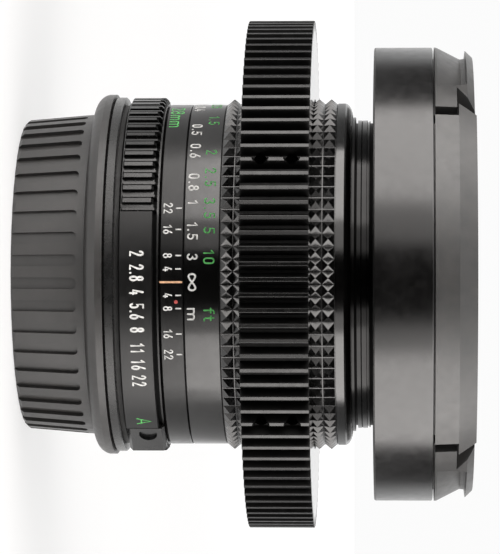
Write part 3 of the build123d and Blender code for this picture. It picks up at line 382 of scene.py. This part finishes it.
characters = {
    "0": [arc(0.25, 0.75, 0.25, 0.25, 0, 180) + arc(0.25, 0.25, 0.25, 0.25, 180, 360)
          + [(0.5, 0.75)]],
    "1": [[(0.0, 0.76), (0.24, 1.0), (0.24, 0)]],
    "2": [arc(0.25, 0.74, 0.25, 0.26, 175, -35) + [(0.0, 0.0), (0.52, 0.0)]],
    "3": [arc(0.23, 0.765, 0.23, 0.235, 150, -90) + arc(0.24, 0.265, 0.27, 0.265, 90, -155)[1:]],
    "4": [[(0.28, 1.0), (0.0, 0.24), (0.54, 0.24)], [(0.40, 0.5), (0.40, 0.0)]],
    "5": [[(0.48, 1.0), (0.07, 1.0), (0.04, 0.52)] + arc(0.23, 0.30, 0.27, 0.30, 125, -150)],
    "6": [[(0.38, 1.0), (0.05, 0.42)] + arc(0.25, 0.28, 0.25, 0.28, 150, 510, 18)],
    "8": [arc(0.25, 0.77, 0.21, 0.23, -90, 270, 18), arc(0.25, 0.27, 0.26, 0.27, 90, 450, 18)],
    ".": [[(0.03, 0.0), (0.03, 0.04)]],
    "A": [[(0.0, 0.0), (0.27, 1.0), (0.54, 0.0)], [(0.09, 0.30), (0.45, 0.30)]],
    "m": [[(0.0, 0.0), (0.0, 0.67)], arch(0.0), arch(0.34)],
    "f": [arc(0.30, 0.82, 0.16, 0.18, 75, 180) + [(0.14, 0.0)], [(0.0, 0.67), (0.30, 0.67)]],
    "t": [[(0.14, 0.95), (0.14, 0.17)] + arc(0.28, 0.17, 0.14, 0.17, 180, 285),
          [(0.0, 0.67), (0.30, 0.67)]],
}
print("characters", " ".join(characters))

# %% [markdown]
# A curve with a round section follows the lines, but it ends square where a cutter leaves a round
# end. Three more points beyond each open end, with a smaller and smaller radius, round it off.

# %% Round ends of a stroke
END_TURNS = (8, 35, 62)


def rounded_ends(line, thick, closed):
    """Points of a stroke, each with its share of the full radius."""
    if closed:
        return [(*point, 1.0) for point in line]
    line = [Vector(point) for point in line]
    first, last = (line[0] - line[1]).normalized(), (line[-1] - line[-2]).normalized()
    caps = [(math.cos(a) * thick / 2, math.sin(a)) for a in map(math.radians, END_TURNS)]
    points = [(*(line[0] + first * out), full) for out, full in caps]
    points += [(*point, 1.0) for point in line]
    return points + [(*(line[-1] + last * out), full) for out, full in reversed(caps)]


print("points on a straight stroke", len(rounded_ends([(0, 0), (0, 1)], 0.1, False)))

# %% [markdown]
# The pen is a curve with a round section. The curve becomes a mesh, and its round strokes are
# pressed flat to a thin layer, because paint fills an engraving only up to the surface.

# %% A pen and its paint
PAINT_T = 0.07 * MM


def deselect_all():
    bpy.ops.object.select_all(action="DESELECT")


def select_only(piece):
    deselect_all()
    piece.select_set(True)
    bpy.context.view_layer.objects.active = piece


def pen(thick):
    """A curve that draws with a round section."""
    curve = bpy.data.curves.new("strokes", "CURVE")
    curve.dimensions = "3D"
    curve.bevel_depth = thick / 2
    curve.bevel_resolution = 2
    curve.use_fill_caps = True
    return curve


def pressed(curve, thick, paint_thick):
    """The curve as a mesh that is only paint_thick thick."""
    piece = bpy.data.objects.new("strokes", curve)
    bpy.context.scene.collection.objects.link(piece)
    select_only(piece)
    bpy.ops.object.convert(target="MESH")
    piece = bpy.context.object
    for vertex in piece.data.vertices:
        vertex.co.z *= paint_thick / thick
    return piece


print("paint is", round(PAINT_T / MM, 3), "mm thick")

# %% [markdown]
# A whole number is one curve, with a spline for each stroke. A line that ends where it starts is
# closed, and the others get round ends.

# %% Write a text
CLOSED_WITHIN = 0.02


def write(text, tall, thick, narrow, gap):
    """Flat lettering, centred across, its foot at height 0. tall is measured over the paint."""
    size = tall - thick
    curve = pen(thick)
    x = 0
    for character in text:
        lines = characters[character]
        for line in lines:
            drawn = [(x + px * narrow * size, thick / 2 + py * size) for px, py in line]
            closed = (Vector(drawn[0]) - Vector(drawn[-1])).length < CLOSED_WITHIN * size
            points = rounded_ends(drawn[:-1] if closed else drawn, thick, closed)
            spline = curve.splines.new("POLY")
            spline.points.add(len(points) - 1)
            for point, (px, py, full) in zip(spline.points, points):
                point.co, point.radius = (px, py, 0, 1), full
            spline.use_cyclic_u = closed
        x += max(px for line in lines for px, _ in line) * narrow * size + gap
    piece = pressed(curve, thick, PAINT_T)
    for vertex in piece.data.vertices:
        vertex.co.x -= (x - gap) / 2
    return piece


def engrave(text, name, delta, radius, foot, tall, paint, body, thick, narrow, gap=0.8 * MM):
    set_mark(write(text, tall, thick, narrow, gap), name, delta, radius, foot, paint, body)


print("marks so far", len(marks))

# %% [markdown]
# The stops stand on the aperture ring, six degrees apart, with a green A for the automatic stop.
# The digits are narrow, so that two of them and a point fit into six degrees. Each number is a
# piece of its own, which is set at its angle without spaces to tune.

# %% Aperture numbers
APERTURE_R = 31.14 * MM
FIRST_STOP, STOP_STEP, AUTO_STOP = -9, 6, 51.8
POINT_GAP, DIGIT_GAP = 0.62 * MM, 0.78 * MM


def mark_name(row, text):
    return f"{row}_{text.replace('.', '_')}"


for i, text in enumerate(["2", "2.8", "4", "5.6", "8", "11", "16", "22"]):
    engrave(text, mark_name("stop", text), FIRST_STOP + STOP_STEP * i, APERTURE_R,
            foot=20.5 * MM, tall=2.5 * MM, paint="paint_white", body="aperture",
            thick=0.34 * MM, narrow=0.56, gap=POINT_GAP if "." in text else DIGIT_GAP)
engrave("A", "stop_auto", AUTO_STOP, APERTURE_R, foot=20.7 * MM, tall=2.6 * MM,
        paint="paint_green", body="aperture", thick=0.28 * MM, narrow=1.25)
print("stops", len(marks))

# %% [markdown]
# The distance scale has a white row in metres and a green row in feet. The nearer the distance,
# the further the ring turns for it, so the marks aren't evenly spaced and a table gives each one
# its angle.

# %% Distances in metres and feet
SCALE_R = 30.04 * MM
metres = {"3": -8.1, "1.5": -16.6, "1": -26.5, "0.8": -33.9, "0.6": -47.2, "0.5": -58.7,
          "0.4": -77.5, "0.35": -90.0, "0.3": -108.0, "m": 10.4}
feet = {"10": -8.1, "5": -16.8, "3.5": -24.4, "2.5": -35.9, "2": -46.5, "1.5": -65.0,
        "1.25": -83.0, "1": -106.0, "ft": 10.5}
for text, delta in metres.items():
    engrave(text, mark_name("metres", text), delta, SCALE_R, foot=30.12 * MM, tall=1.9 * MM,
            paint="paint_white", body="focus", thick=0.31 * MM,
            narrow=1.7 if text == "m" else 1.0, gap=0.76 * MM)
for text, delta in feet.items():
    unit = text == "ft"
    engrave(text, mark_name("feet", text), delta, SCALE_R, foot=32.9 * MM, tall=1.95 * MM,
            paint="paint_green", body="focus", thick=0.27 * MM,
            narrow=1.45 if unit else 1.02, gap=(0.5 if unit else 0.86) * MM)
print("distances", len(metres) + len(feet))

# %% [markdown]
# The fixed ring shows how much is sharp at each of four stops, nearer and further than the index.
# The two sides mirror each other, so one table of angles serves both. The focal length stands
# further round, larger and in green.

# %% Depth of field numbers
DEPTH_R = 30.04 * MM
DEPTH_STOPS = {"4": 4.25, "8": 8.55, "16": 17.1, "22": 24.35}
DEPTH_SIDES = ((-1, "low"), (1, "high"))
for text, delta in DEPTH_STOPS.items():
    for side, word in DEPTH_SIDES:
        engrave(text, f"depth_{text}_{word}", side * delta, DEPTH_R, foot=26.08 * MM,
                tall=1.6 * MM, paint="paint_white", body="barrel",
                thick=0.25 * MM, narrow=0.84, gap=0.52 * MM)
engrave("28mm", "focal_length", -69.0, DEPTH_R, foot=26.1 * MM, tall=2.45 * MM,
        paint="paint_green", body="barrel", thick=0.30 * MM, narrow=1.25, gap=0.85 * MM)
print("written marks", len(marks))

# %% [markdown]
# The lines and the dot of the scales are thin painted shapes with bevelled edges: a slab for a
# line and a disc for the dot. They are so narrow that they bend with the ring without extra cuts.

# %% Strokes and dots
MARK_T = 0.06 * MM
STROKE_EDGE, DOT_EDGE = 0.02 * MM, 0.015 * MM


def edit(piece):
    bpy.context.view_layer.objects.active = piece
    bpy.ops.object.mode_set(mode="EDIT")
    bpy.ops.mesh.select_all(action="SELECT")


def lay_down(piece, edge, name, delta, radius, height, paint, body):
    """Bevels a flat shape that is in edit mode and sets it on its ring."""
    bpy.ops.mesh.bevel(offset=edge, segments=1)
    bpy.ops.object.mode_set(mode="OBJECT")
    set_mark(piece, name, delta, radius, height, paint, body)


def stroke(name, delta, wide, low, high, paint):
    deselect_all()
    bpy.ops.mesh.primitive_cube_add(size=1)
    piece = bpy.context.object
    edit(piece)
    bpy.ops.transform.resize(value=(wide, high - low, MARK_T))
    lay_down(piece, STROKE_EDGE, name, delta, DEPTH_R, (low + high) / 2, paint, "barrel")


def dot(name, delta, size, height, paint):
    deselect_all()
    bpy.ops.mesh.primitive_cylinder_add(vertices=24, radius=size, depth=MARK_T)
    piece = bpy.context.object
    edit(piece)
    lay_down(piece, DOT_EDGE, name, delta, DEPTH_R, height, paint, "barrel")


stroke("index_line", 0, wide=0.34 * MM, low=25.55 * MM, high=29.4 * MM, paint="paint_orange")
for delta in DEPTH_STOPS.values():
    for side, word in DEPTH_SIDES:
        stroke(f"depth_tick_{round(delta)}_{word}", side * delta,
               wide=0.24 * MM, low=28.2 * MM, high=29.2 * MM, paint="paint_white")
dot("infrared_dot", 6.4, size=0.32 * MM, height=28.3 * MM, paint="paint_red")
print("marks", len(marks))

# %% [markdown]
# The infinity sign is one line that crosses itself. The same pen draws it as a closed curve, which
# keeps the stroke even. Such a curve runs a little inside its points, so they stand 8% too high.

# %% Infinity sign
SIGN_WIDE, SIGN_TALL, SIGN_LINE, SIGN_FOOT = 2.75 * MM, 1.06 * MM, 0.32 * MM, 30.5 * MM
SIGN_POINTS, POINTS_OUT = 32, 1.08

sign = pen(SIGN_LINE)
line = sign.splines.new("NURBS")
line.points.add(SIGN_POINTS - 1)
for i in range(SIGN_POINTS):
    t = 2 * math.pi * i / SIGN_POINTS
    up = SIGN_TALL / 2 * math.sin(2 * t) * POINTS_OUT + SIGN_TALL / 2
    line.points[i].co = (SIGN_WIDE / 2 * math.sin(t), up, 0, 1)
line.use_cyclic_u = True
line.order_u = 3
set_mark(pressed(sign, SIGN_LINE, MARK_T), "metres_infinity", 0, SCALE_R, SIGN_FOOT,
         "paint_white", "focus")
print("marks", len(marks))

# %% [markdown]
# Some rings need finer edges than the CAD model has. Their repeated shape is made once, on the
# flat: x runs across, y up the axis and z outwards. Faces and edges are picked in code, by a test
# of their place or their direction.

# %% Shape a flat block
NEAR = 0.01 * MM
FACING, SIDEWAYS = 0.9, 0.1


def pick(piece, kind, test):
    """In edit mode, selects only the faces or edges that pass the test."""
    bpy.ops.mesh.select_all(action="DESELECT")
    bpy.ops.mesh.select_mode(type=kind)
    mesh = bmesh.from_edit_mesh(piece.data)
    for part in mesh.faces if kind == "FACE" else mesh.edges:
        part.select_set(test(part))
    bmesh.update_edit_mesh(piece.data)


def flat_block(wide, long, deep):
    """A block with its top at z = 0, in edit mode."""
    deselect_all()
    bpy.ops.mesh.primitive_cube_add(size=1)
    piece = bpy.context.object
    edit(piece)
    bpy.ops.transform.resize(value=(wide, long, deep))
    bpy.ops.transform.translate(value=(0, 0, -deep / 2))
    return piece


def cut_across(normal, place):
    bpy.ops.mesh.select_all(action="SELECT")
    bpy.ops.mesh.bisect(plane_co=place, plane_no=normal)


def open_sides(piece, wide):
    """Deletes the two side faces, where the next copy joins on, and leaves edit mode."""
    pick(piece, "FACE", lambda f: abs(f.calc_center_median().x) > wide / 2 - NEAR)
    bpy.ops.mesh.delete(type="FACE")
    bpy.ops.object.mode_set(mode="OBJECT")


print("a place is met within", round(NEAR / MM, 3), "mm")

# %% [markdown]
# Copies of the flat shape are wrapped to their places and joined, and their open sides merge into
# one closed ring. An Array modifier and a bend would need a length that closes to the last digit.
# A count of edges that don't join exactly two faces tells whether the ring is closed.

# %% Make a ring of copies
MERGE_WITHIN = 0.002 * MM


def joined(pieces):
    deselect_all()
    for piece in pieces:
        piece.select_set(True)
    bpy.context.view_layer.objects.active = pieces[0]
    bpy.ops.object.join()
    return bpy.context.object


def ring_of(piece, count, first_turn, radius, height):
    copies = []
    for i in range(count):
        copy = bpy.data.objects.new(piece.name, piece.data.copy())
        bpy.context.scene.collection.objects.link(copy)
        copies.append(wrap(copy, first_turn + i * 360 / count, radius, height))
    bpy.data.objects.remove(piece)
    ring = joined(copies)
    edit(ring)
    bpy.ops.mesh.remove_doubles(threshold=MERGE_WITHIN)
    bpy.ops.mesh.normals_make_consistent(inside=False)
    bpy.ops.object.mode_set(mode="OBJECT")
    return ring


def open_edges(piece):
    uses = {}
    for face in piece.data.polygons:
        for key in face.edge_keys:
            uses[key] = uses.get(key, 0) + 1
    return sum(n != 2 for n in uses.values())


def report(piece):
    print(piece.name, "faces", len(piece.data.polygons), "open edges", open_edges(piece))


print("sides merge within", round(MERGE_WITHIN / MM, 3), "mm")

# %% [markdown]
# The gear is hobbed from a black anodised ring. Each crest is a turned surface and catches the
# light. The flanks are cut and duller. The two end faces are turned smooth, so at a low angle they
# mirror the white room. Three finishes tell these surfaces apart. A real edge is never quite
# sharp: a bevel of 0.06 mm makes it a thin bright line.

# %% Gear tooth
satin_black("gear_flank", (0.0012, 0.0012, 0.0012), (0.0026, 0.0025, 0.0024),
            rough=(0.34, 0.44), blast=0.4, height=0.004, specular=0.25)
satin_black("gear_face", (0.0016, 0.0016, 0.0016), (0.0030, 0.0030, 0.0029),
            rough=(0.05, 0.09), blast=0.8, height=0.0002, specular=0.8)
GEAR_TEETH = 110
GEAR_MODULE = 0.8 * MM
GEAR_PHASE = -0.55
GEAR_BORE = 30.97 * MM
GEAR_EDGE = 0.06 * MM
PRESSURE_ANGLE = 20
gear_low, gear_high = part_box("gear_ring")
gear_len = gear_high.z - gear_low.z
gear_mid = (gear_high.z + gear_low.z) / 2

# A standard tooth stands 1 module above the pitch circle and goes 1.25 modules below it.
pitch_r = GEAR_TEETH * GEAR_MODULE / 2
root_r = pitch_r - 1.25 * GEAR_MODULE
tooth_tall = 2.25 * GEAR_MODULE
tooth_pitch = 2 * math.pi * root_r / GEAR_TEETH
flank = math.tan(math.radians(PRESSURE_ANGLE))
pitch_wide = math.pi * GEAR_MODULE / 2
tooth_foot = pitch_wide + 2.5 * GEAR_MODULE * flank
tooth_crest = (pitch_wide - 2 * GEAR_MODULE * flank) * root_r / (pitch_r + GEAR_MODULE)


def in_tooth_foot(face):
    return face.normal.z > FACING and abs(face.calc_center_median().x) < tooth_foot / 2 - NEAR


tooth = flat_block(tooth_pitch, gear_len, root_r - GEAR_BORE)
for side in (-1, 1):
    cut_across((1, 0, 0), (side * tooth_foot / 2, 0, 0))
pick(tooth, "FACE", in_tooth_foot)
bpy.ops.mesh.extrude_region_move(TRANSFORM_OT_translate={"value": (0, 0, tooth_tall)})
bpy.ops.transform.resize(value=(tooth_crest / tooth_foot, 1, 1))
pick(tooth, "EDGE", lambda e: all(v.co.z > tooth_tall - NEAR for v in e.verts))
bpy.ops.mesh.bevel(offset=GEAR_EDGE, segments=2)
open_sides(tooth, tooth_pitch)
print("tooth faces", len(tooth.data.polygons), "crest", in_mm([tooth_crest], 2))

# %% [markdown]
# Six pairs of holes for the set screws go through the ring. One cutter is a short cylinder whose
# outer end flares, which leaves the small countersink of a real threaded hole. All the cutters are
# joined first, so that one exact Boolean drills them together.

# %% Gear ring
SCREW_PAIRS, SCREW_TURN = 6, -25.8
SCREW_HOLE_R, SCREW_SPREAD, SCREW_SHIFT = 1.17 * MM, 5.2 * MM, 0.25 * MM
CUTTER_LONG, CUTTER_MID_R = 16 * MM, 37.2 * MM
FLARE_FROM_R, FLARE = 44.45 * MM, 1.55


def radial_place(turn, height):
    """Carries x across, y up and z outwards to a place at the given angle."""
    out, across = around_axis(turn, 1, 0), around_axis(turn + 90, 1, 0)
    place = Matrix((across, Vector((0, 0, 1)), out)).transposed().to_4x4()
    return Matrix.Translation((0, 0, height)) @ place


def screw_cutter(turn, height):
    deselect_all()
    bpy.ops.mesh.primitive_cylinder_add(vertices=32, radius=SCREW_HOLE_R, depth=CUTTER_LONG)
    cutter = bpy.context.object
    edit(cutter)
    bpy.ops.transform.translate(value=(0, 0, CUTTER_MID_R))
    cut_across((0, 0, 1), (0, 0, FLARE_FROM_R))
    pick(cutter, "FACE", lambda f: f.normal.z > FACING)
    bpy.ops.transform.resize(value=(FLARE, FLARE, 1))
    bpy.ops.object.mode_set(mode="OBJECT")
    cutter.data.transform(radial_place(turn, height))
    return cutter


first_tooth = (90 + GEAR_PHASE) % (360 / GEAR_TEETH)
gear = ring_of(tooth, GEAR_TEETH, first_tooth, root_r, gear_mid)
screw_mid = gear_mid + SCREW_SHIFT
cutters = joined([
    screw_cutter(SCREW_TURN + i * 360 / SCREW_PAIRS, screw_mid + side * SCREW_SPREAD / 2)
    for i in range(SCREW_PAIRS) for side in (-1, 1)
])
select_only(gear)
drill = gear.modifiers.new("drill", "BOOLEAN")
drill.operation, drill.solver, drill.object = "DIFFERENCE", "EXACT", cutters
bpy.ops.object.modifier_apply(modifier=drill.name)
bpy.data.objects.remove(cutters)
finish_piece(gear, "follow_gear", "gear_black", "focus")
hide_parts("gear_ring")
report(gear)

# %% [markdown]
# Each face of the gear gets its finish by its place: a crest lies far out, and an end face looks
# along the axis. All that is left is flanks, floors and holes.

# %% Gear surfaces
gear.data.materials.append(finishes["gear_flank"])
gear.data.materials.append(finishes["gear_face"])
crest_r = root_r + tooth_tall - NEAR
for face in gear.data.polygons:
    along_axis = abs(face.normal.z)
    on_crest = face.center.xy.length > crest_r and along_axis < SIDEWAYS
    face.material_index = 2 if along_axis > FACING else (0 if on_crest else 1)


def face_counts(piece):
    indices = [face.material_index for face in piece.data.polygons]
    return [indices.count(i) for i in range(len(piece.data.materials))]


print("crest, flank and end faces", face_counts(gear))

# %% [markdown]
# The grip's knurl is four-sided points in two rows at each end. The cutter leaves a narrow flat
# between them, which shows as a fine line. One column of the ring is a thin block, cut into rows.
# Insetting a row's outer face leaves the flat, and a second inset that also rises makes the point.

# %% Knurled grip
KNURL_CELLS = 88
KNURL_EDGE_TURN = -0.78
KNURL_ROWS = 9
KNURL_FLAT, KNURL_POINT = 0.07 * MM, 0.03 * MM
KNURL_TALL = 0.8 * MM
GRIP_WALL = 0.6 * MM
grip_low, grip_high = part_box("focus_grip")
grip_len = grip_high.z - grip_low.z
grip_mid = (grip_low.z + grip_high.z) / 2
valley_r = (grip_high.x - grip_low.x) / 2 - KNURL_TALL
row = grip_len / KNURL_ROWS
cell = 2 * math.pi * valley_r / KNURL_CELLS


def in_end_rows(face):
    return face.normal.z > FACING and abs(face.calc_center_median().y) > grip_len / 2 - 2 * row


column = flat_block(cell, grip_len, GRIP_WALL)
for i in (1, 2):
    for side in (-1, 1):
        cut_across((0, 1, 0), (0, side * (grip_len / 2 - i * row), 0))
pick(column, "FACE", in_end_rows)
bpy.ops.mesh.inset(thickness=KNURL_FLAT, use_individual=True)
bpy.ops.mesh.inset(
    thickness=row / 2 - KNURL_FLAT - KNURL_POINT, depth=KNURL_TALL, use_individual=True)
open_sides(column, cell)
print("column faces", len(column.data.polygons), "valley radius", in_mm([valley_r], 2))
grip = ring_of(column, KNURL_CELLS, KNURL_EDGE_TURN + 180 / KNURL_CELLS, valley_r, grip_mid)
finish_piece(grip, "knurled_grip", "knurl_black", "focus")
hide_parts("focus_grip")
report(grip)

# %% [markdown]
# Some rings have the right shape already, and need only a finer edge or finish. A copy of the CAD
# mesh is merged. The normals that were stored for its loose triangles are cleared, because after
# the merge they point astray, and the shading becomes smooth again by angle.

# %% Copies of CAD rings
COPY_MERGE = 0.001 * MM
SMOOTH_BELOW = 25


def merged_copy(node_name, name):
    """A copy of a CAD mesh in edit mode, merged and without its stored normals."""
    piece = bpy.data.objects.new(name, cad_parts[node_name].data.copy())
    bpy.context.scene.collection.objects.link(piece)
    select_only(piece)
    bpy.ops.mesh.customdata_custom_splitnormals_clear()
    edit(piece)
    bpy.ops.mesh.remove_doubles(threshold=COPY_MERGE)
    return piece


def refinished(piece, node_name, finish, body):
    """Leaves edit mode and lets the copy take the CAD node's place."""
    bpy.ops.object.mode_set(mode="OBJECT")
    bpy.ops.object.shade_smooth_by_angle(angle=math.radians(SMOOTH_BELOW))
    finish_piece(piece, piece.name, finish, body)
    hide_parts(node_name)
    report(piece)


print("smooth below", SMOOTH_BELOW, "degrees")

# %% [markdown]
# The edges of the wide front ring are broken by 0.15 mm, and a black part is mostly seen by the
# light on them. Its flat faces are cleared of extra edges, and a bevel runs along every sharp
# edge. The bevel keeps the flat faces' normals, so that they still shade flat.

# %% Front ring edges
FRONT_EDGE = 0.15 * MM
FLAT_WITHIN, SHARP_FROM = 0.05, 35

front = merged_copy("front_ring", "front_ring_edged")
bpy.ops.mesh.dissolve_limited(angle_limit=math.radians(FLAT_WITHIN))
refinished(front, "front_ring", "front_satin", "front_group")
bevel = front.modifiers.new("edge", "BEVEL")
bevel.width, bevel.segments = FRONT_EDGE, 2
bevel.limit_method, bevel.angle_limit = "ANGLE", math.radians(SHARP_FROM)
bevel.use_clamp_overlap = False
bevel.harden_normals = True
bpy.ops.object.modifier_apply(modifier=bevel.name)
report(front)

# %% [markdown]
# The aperture ring is cut along the lip of its groove, which stays light. Then its faces get their
# finishes by place: the groove lies deeper than the rest and gets painted shade, and the matte
# half is a range of angles.

# %% Aperture ring halves
MATTE_FROM, MATTE_TO = -19.9, 58.8
GROOVE_WIDE, LIP_WIDE, GROOVE_R = 0.95 * MM, 0.28 * MM, 30.3 * MM
ring_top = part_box("aperture_ring")[1].z
groove_low, lip_low = ring_top - GROOVE_WIDE, ring_top - LIP_WIDE

ring = merged_copy("aperture_ring", "aperture_ring_finished")
cut_across((0, 0, 1), (0, 0, lip_low))
refinished(ring, "aperture_ring", "aperture_satin", "aperture")
ring.data.materials.append(finishes["aperture_matte"])
ring.data.materials.append(finishes["groove_painted_shade"])
for face in ring.data.polygons:
    turn = math.degrees(math.atan2(face.center.x, -face.center.y))
    # The groove's faces get the painted shade.
    if groove_low < face.center.z < lip_low and face.center.xy.length < GROOVE_R:
        face.material_index = 2
    elif MATTE_FROM < turn < MATTE_TO:
        face.material_index = 1
print("satin, matte and groove faces", face_counts(ring))

# %% [markdown]
# The collar behind the front ring is two thin rings with turned grooves. Little light gets into a
# groove, so its floor and walls get painted shade: a near-black finish with almost no reflection.

# %% Collar grooves
GROOVES_MM = ((58.20, 58.65), (59.32, 59.48), (60.75, 61.45))
for name, slot in (("filter_ring", "black_anodised"), ("step_up_ring", "front_anodised")):
    collar = merged_copy(name, f"{name}_grooved")
    refinished(collar, name, "collar_satin", "front_group")
    # The floors and walls of the grooves wear painted shade.
    collar.data.materials.append(finishes["groove_painted_shade"])
    for face in collar.data.polygons:
        if any(low * MM < face.center.z < high * MM for low, high in GROOVES_MM):
            face.material_index = 1
    print("satin and groove faces", face_counts(collar))

# %% [markdown]
# The lens stands on a white table in a white room. White paper looks white in a photograph because
# it is lit apart from the object. Here the table glows, but only for rays from the camera and for
# reflections, so the glow puts no light on the lens. Its plain diffuse part still takes the shadow.

# %% White that glows when it is looked at
SIDE_GLOW, SIDE_FROM, SIDE_TO = 0.25, 0.15, 0.35
GLOW_FROM, GLOW_TO = 0.15, 1.3


def combine(tree, operation, first, second):
    node = tree.nodes.new("ShaderNodeMath")
    node.operation = operation
    tree.links.new(first, node.inputs[0])
    tree.links.new(second, node.inputs[1])
    return node.outputs[0]


def split(tree, vector):
    parts = tree.nodes.new("ShaderNodeSeparateXYZ")
    tree.links.new(vector, parts.inputs["Vector"])
    return parts.outputs


def rays_that_look(tree, place):
    """1 for a ray from the camera, 0 for light itself. A reflection sees less of the far sides."""
    seen = tree.nodes.new("ShaderNodeLightPath").outputs
    aside = tree.nodes.new("ShaderNodeMath")
    aside.operation = "ABSOLUTE"
    tree.links.new(split(tree, place)["X"], aside.inputs[0])
    near_axis = spread(tree, aside.outputs[0], 1.0, SIDE_GLOW, SIDE_FROM, SIDE_TO)
    mirrored = combine(tree, "MAXIMUM", seen["Is Glossy Ray"], seen["Is Transmission Ray"])
    mirrored = combine(tree, "MULTIPLY", mirrored, near_axis)
    return combine(tree, "MAXIMUM", seen["Is Camera Ray"], mirrored)


def glowing_white(name, shade, glow_near, glow_far):
    """White that glows a little more with the distance from the lens, where the lamps fade."""
    tree, shader, place = start_finish(name, (shade,) * 3, roughness=0.8, specular=0.1)
    patches = grain(tree, place, 0.2)
    two_colours(tree, patches, (shade,) * 3, (shade + 0.01,) * 3, shader.inputs["Base Color"])
    away = tree.nodes.new("ShaderNodeVectorMath")
    away.operation = "LENGTH"
    tree.links.new(place, away.inputs[0])
    glow = spread(tree, away.outputs["Value"], glow_near, glow_far, GLOW_FROM, GLOW_TO)
    strength = combine(tree, "MULTIPLY", glow, rays_that_look(tree, place))
    shader.inputs["Emission Color"].default_value = (1, 1, 1, 1)
    tree.links.new(strength, shader.inputs["Emission Strength"])


glowing_white("table_white", shade=0.42, glow_near=0.54, glow_far=0.92)
print("finishes", len(finishes))

# %% [markdown]
# The table is one plane. It reaches far back, where its white meets the white of the room, and it
# ends a little in front of the lens, so that the rings mirror less of it.

# %% White table
TABLE_WIDE, TABLE_FRONT, TABLE_BACK, TABLE_TOP = 8, -0.075, 4.0, -0.05 * MM

deselect_all()
bpy.ops.mesh.primitive_plane_add(size=1)
table = bpy.context.object
table.name = "table"
for vertex in table.data.vertices:
    vertex.co.x *= TABLE_WIDE
    vertex.co.y = TABLE_FRONT if vertex.co.y < 0 else TABLE_BACK
    vertex.co.z = TABLE_TOP
table.data.materials.append(finishes["table_white"])
print("table corners", [[round(c, 3) for c in vertex.co] for vertex in table.data.vertices])

# %% [markdown]
# The room is a world whose brightness depends on the direction. Behind the lens it is bright,
# which lights the rims of the silhouette. Above it is half as bright. The side that the camera
# works from is dark, and gives the black metal its dark middle. The camera itself sees an even
# white.

# %% Room
BEHIND, ABOVE, CAMERA_WHITE = 1.0, 0.5, 0.97

world = bpy.data.worlds.new("room")
bpy.context.scene.world = world
world.use_nodes = True
tree = world.node_tree
direction = split(tree, tree.nodes.new("ShaderNodeTexCoord").outputs["Generated"])
behind = spread(tree, direction["Y"], 0.0, BEHIND, from_low=0.60, from_high=0.77)
above = spread(tree, direction["Z"], 0.0, ABOVE, from_low=0.3, from_high=0.9)
seen = tree.nodes.new("ShaderNodeLightPath").outputs
choose = tree.nodes.new("ShaderNodeMix")
tree.links.new(seen["Is Camera Ray"], choose.inputs["Factor"])
tree.links.new(combine(tree, "MAXIMUM", behind, above), choose.inputs["A"])
choose.inputs["B"].default_value = CAMERA_WHITE
room = tree.nodes["Background"]
room.inputs["Color"].default_value = (1, 1, 1, 1)
tree.links.new(choose.outputs["Result"], room.inputs["Strength"])
print("room behind", BEHIND, "above", ABOVE)

# %% [markdown]
# At each side stands a large soft box with a wider, weaker screen behind it. Together they make a
# light band along every ring, which fades towards the middle and ends short of the rim. A lamp
# that is small would leave a hard bright line instead.

# %% Soft boxes
LAMP_TINT = (1.0, 0.965, 0.94)
LAMP_TALL, LAMP_HEIGHT = 0.75, 0.30
LAMP_AIM = Vector((0, 0, 0.04))


def soft_box(name, turn, distance, wide, brightness):
    lamp = bpy.data.lights.new(name, "AREA")
    lamp.shape = "RECTANGLE"
    lamp.size, lamp.size_y = wide, LAMP_TALL
    lamp.energy = brightness * math.pi * wide * LAMP_TALL
    lamp.color = LAMP_TINT
    box = bpy.data.objects.new(name, lamp)
    bpy.context.scene.collection.objects.link(box)
    box.location = around_axis(turn, distance, LAMP_HEIGHT)
    box.rotation_euler = (LAMP_AIM - box.location).to_track_quat("-Z", "Y").to_euler()
    box.visible_camera = False


for word, box_turn, screen_turn, screen_wide in (("left", -63, -53, 1.30), ("right", 66, 58, 1.10)):
    soft_box(f"box_{word}", box_turn, distance=0.70, wide=0.81, brightness=2.9)
    soft_box(f"screen_{word}", screen_turn, distance=0.75, wide=screen_wide, brightness=1.3)

# %% [markdown]
# The photograph shows the lens lying over, so the camera is rolled: the axis of the lens runs to
# the right of the picture. It stands level with the front ring and looks a little below it.

# %% Camera
EYE, AIM = Vector((0, -0.566, 0.066)), Vector((0.0005, 0, 0.0394))
LENS_LENGTH, SENSOR_WIDE = 207.5, 36

back = (EYE - AIM).normalized()
right = Vector((-1, 0, 0)).cross(back).normalized()
up = back.cross(right)
camera_data = bpy.data.cameras.new("camera")
camera_data.lens, camera_data.sensor_width = LENS_LENGTH, SENSOR_WIDE
camera_data.clip_start = 0.01
camera = bpy.data.objects.new("camera", camera_data)
bpy.context.scene.collection.objects.link(camera)
camera.matrix_world = Matrix.Translation(EYE) @ Matrix((right, up, back)).transposed().to_4x4()
bpy.context.scene.camera = camera
bpy.context.scene.view_settings.view_transform = "Standard"
print("camera", [round(v, 3) for v in EYE], "lens", camera_data.lens)
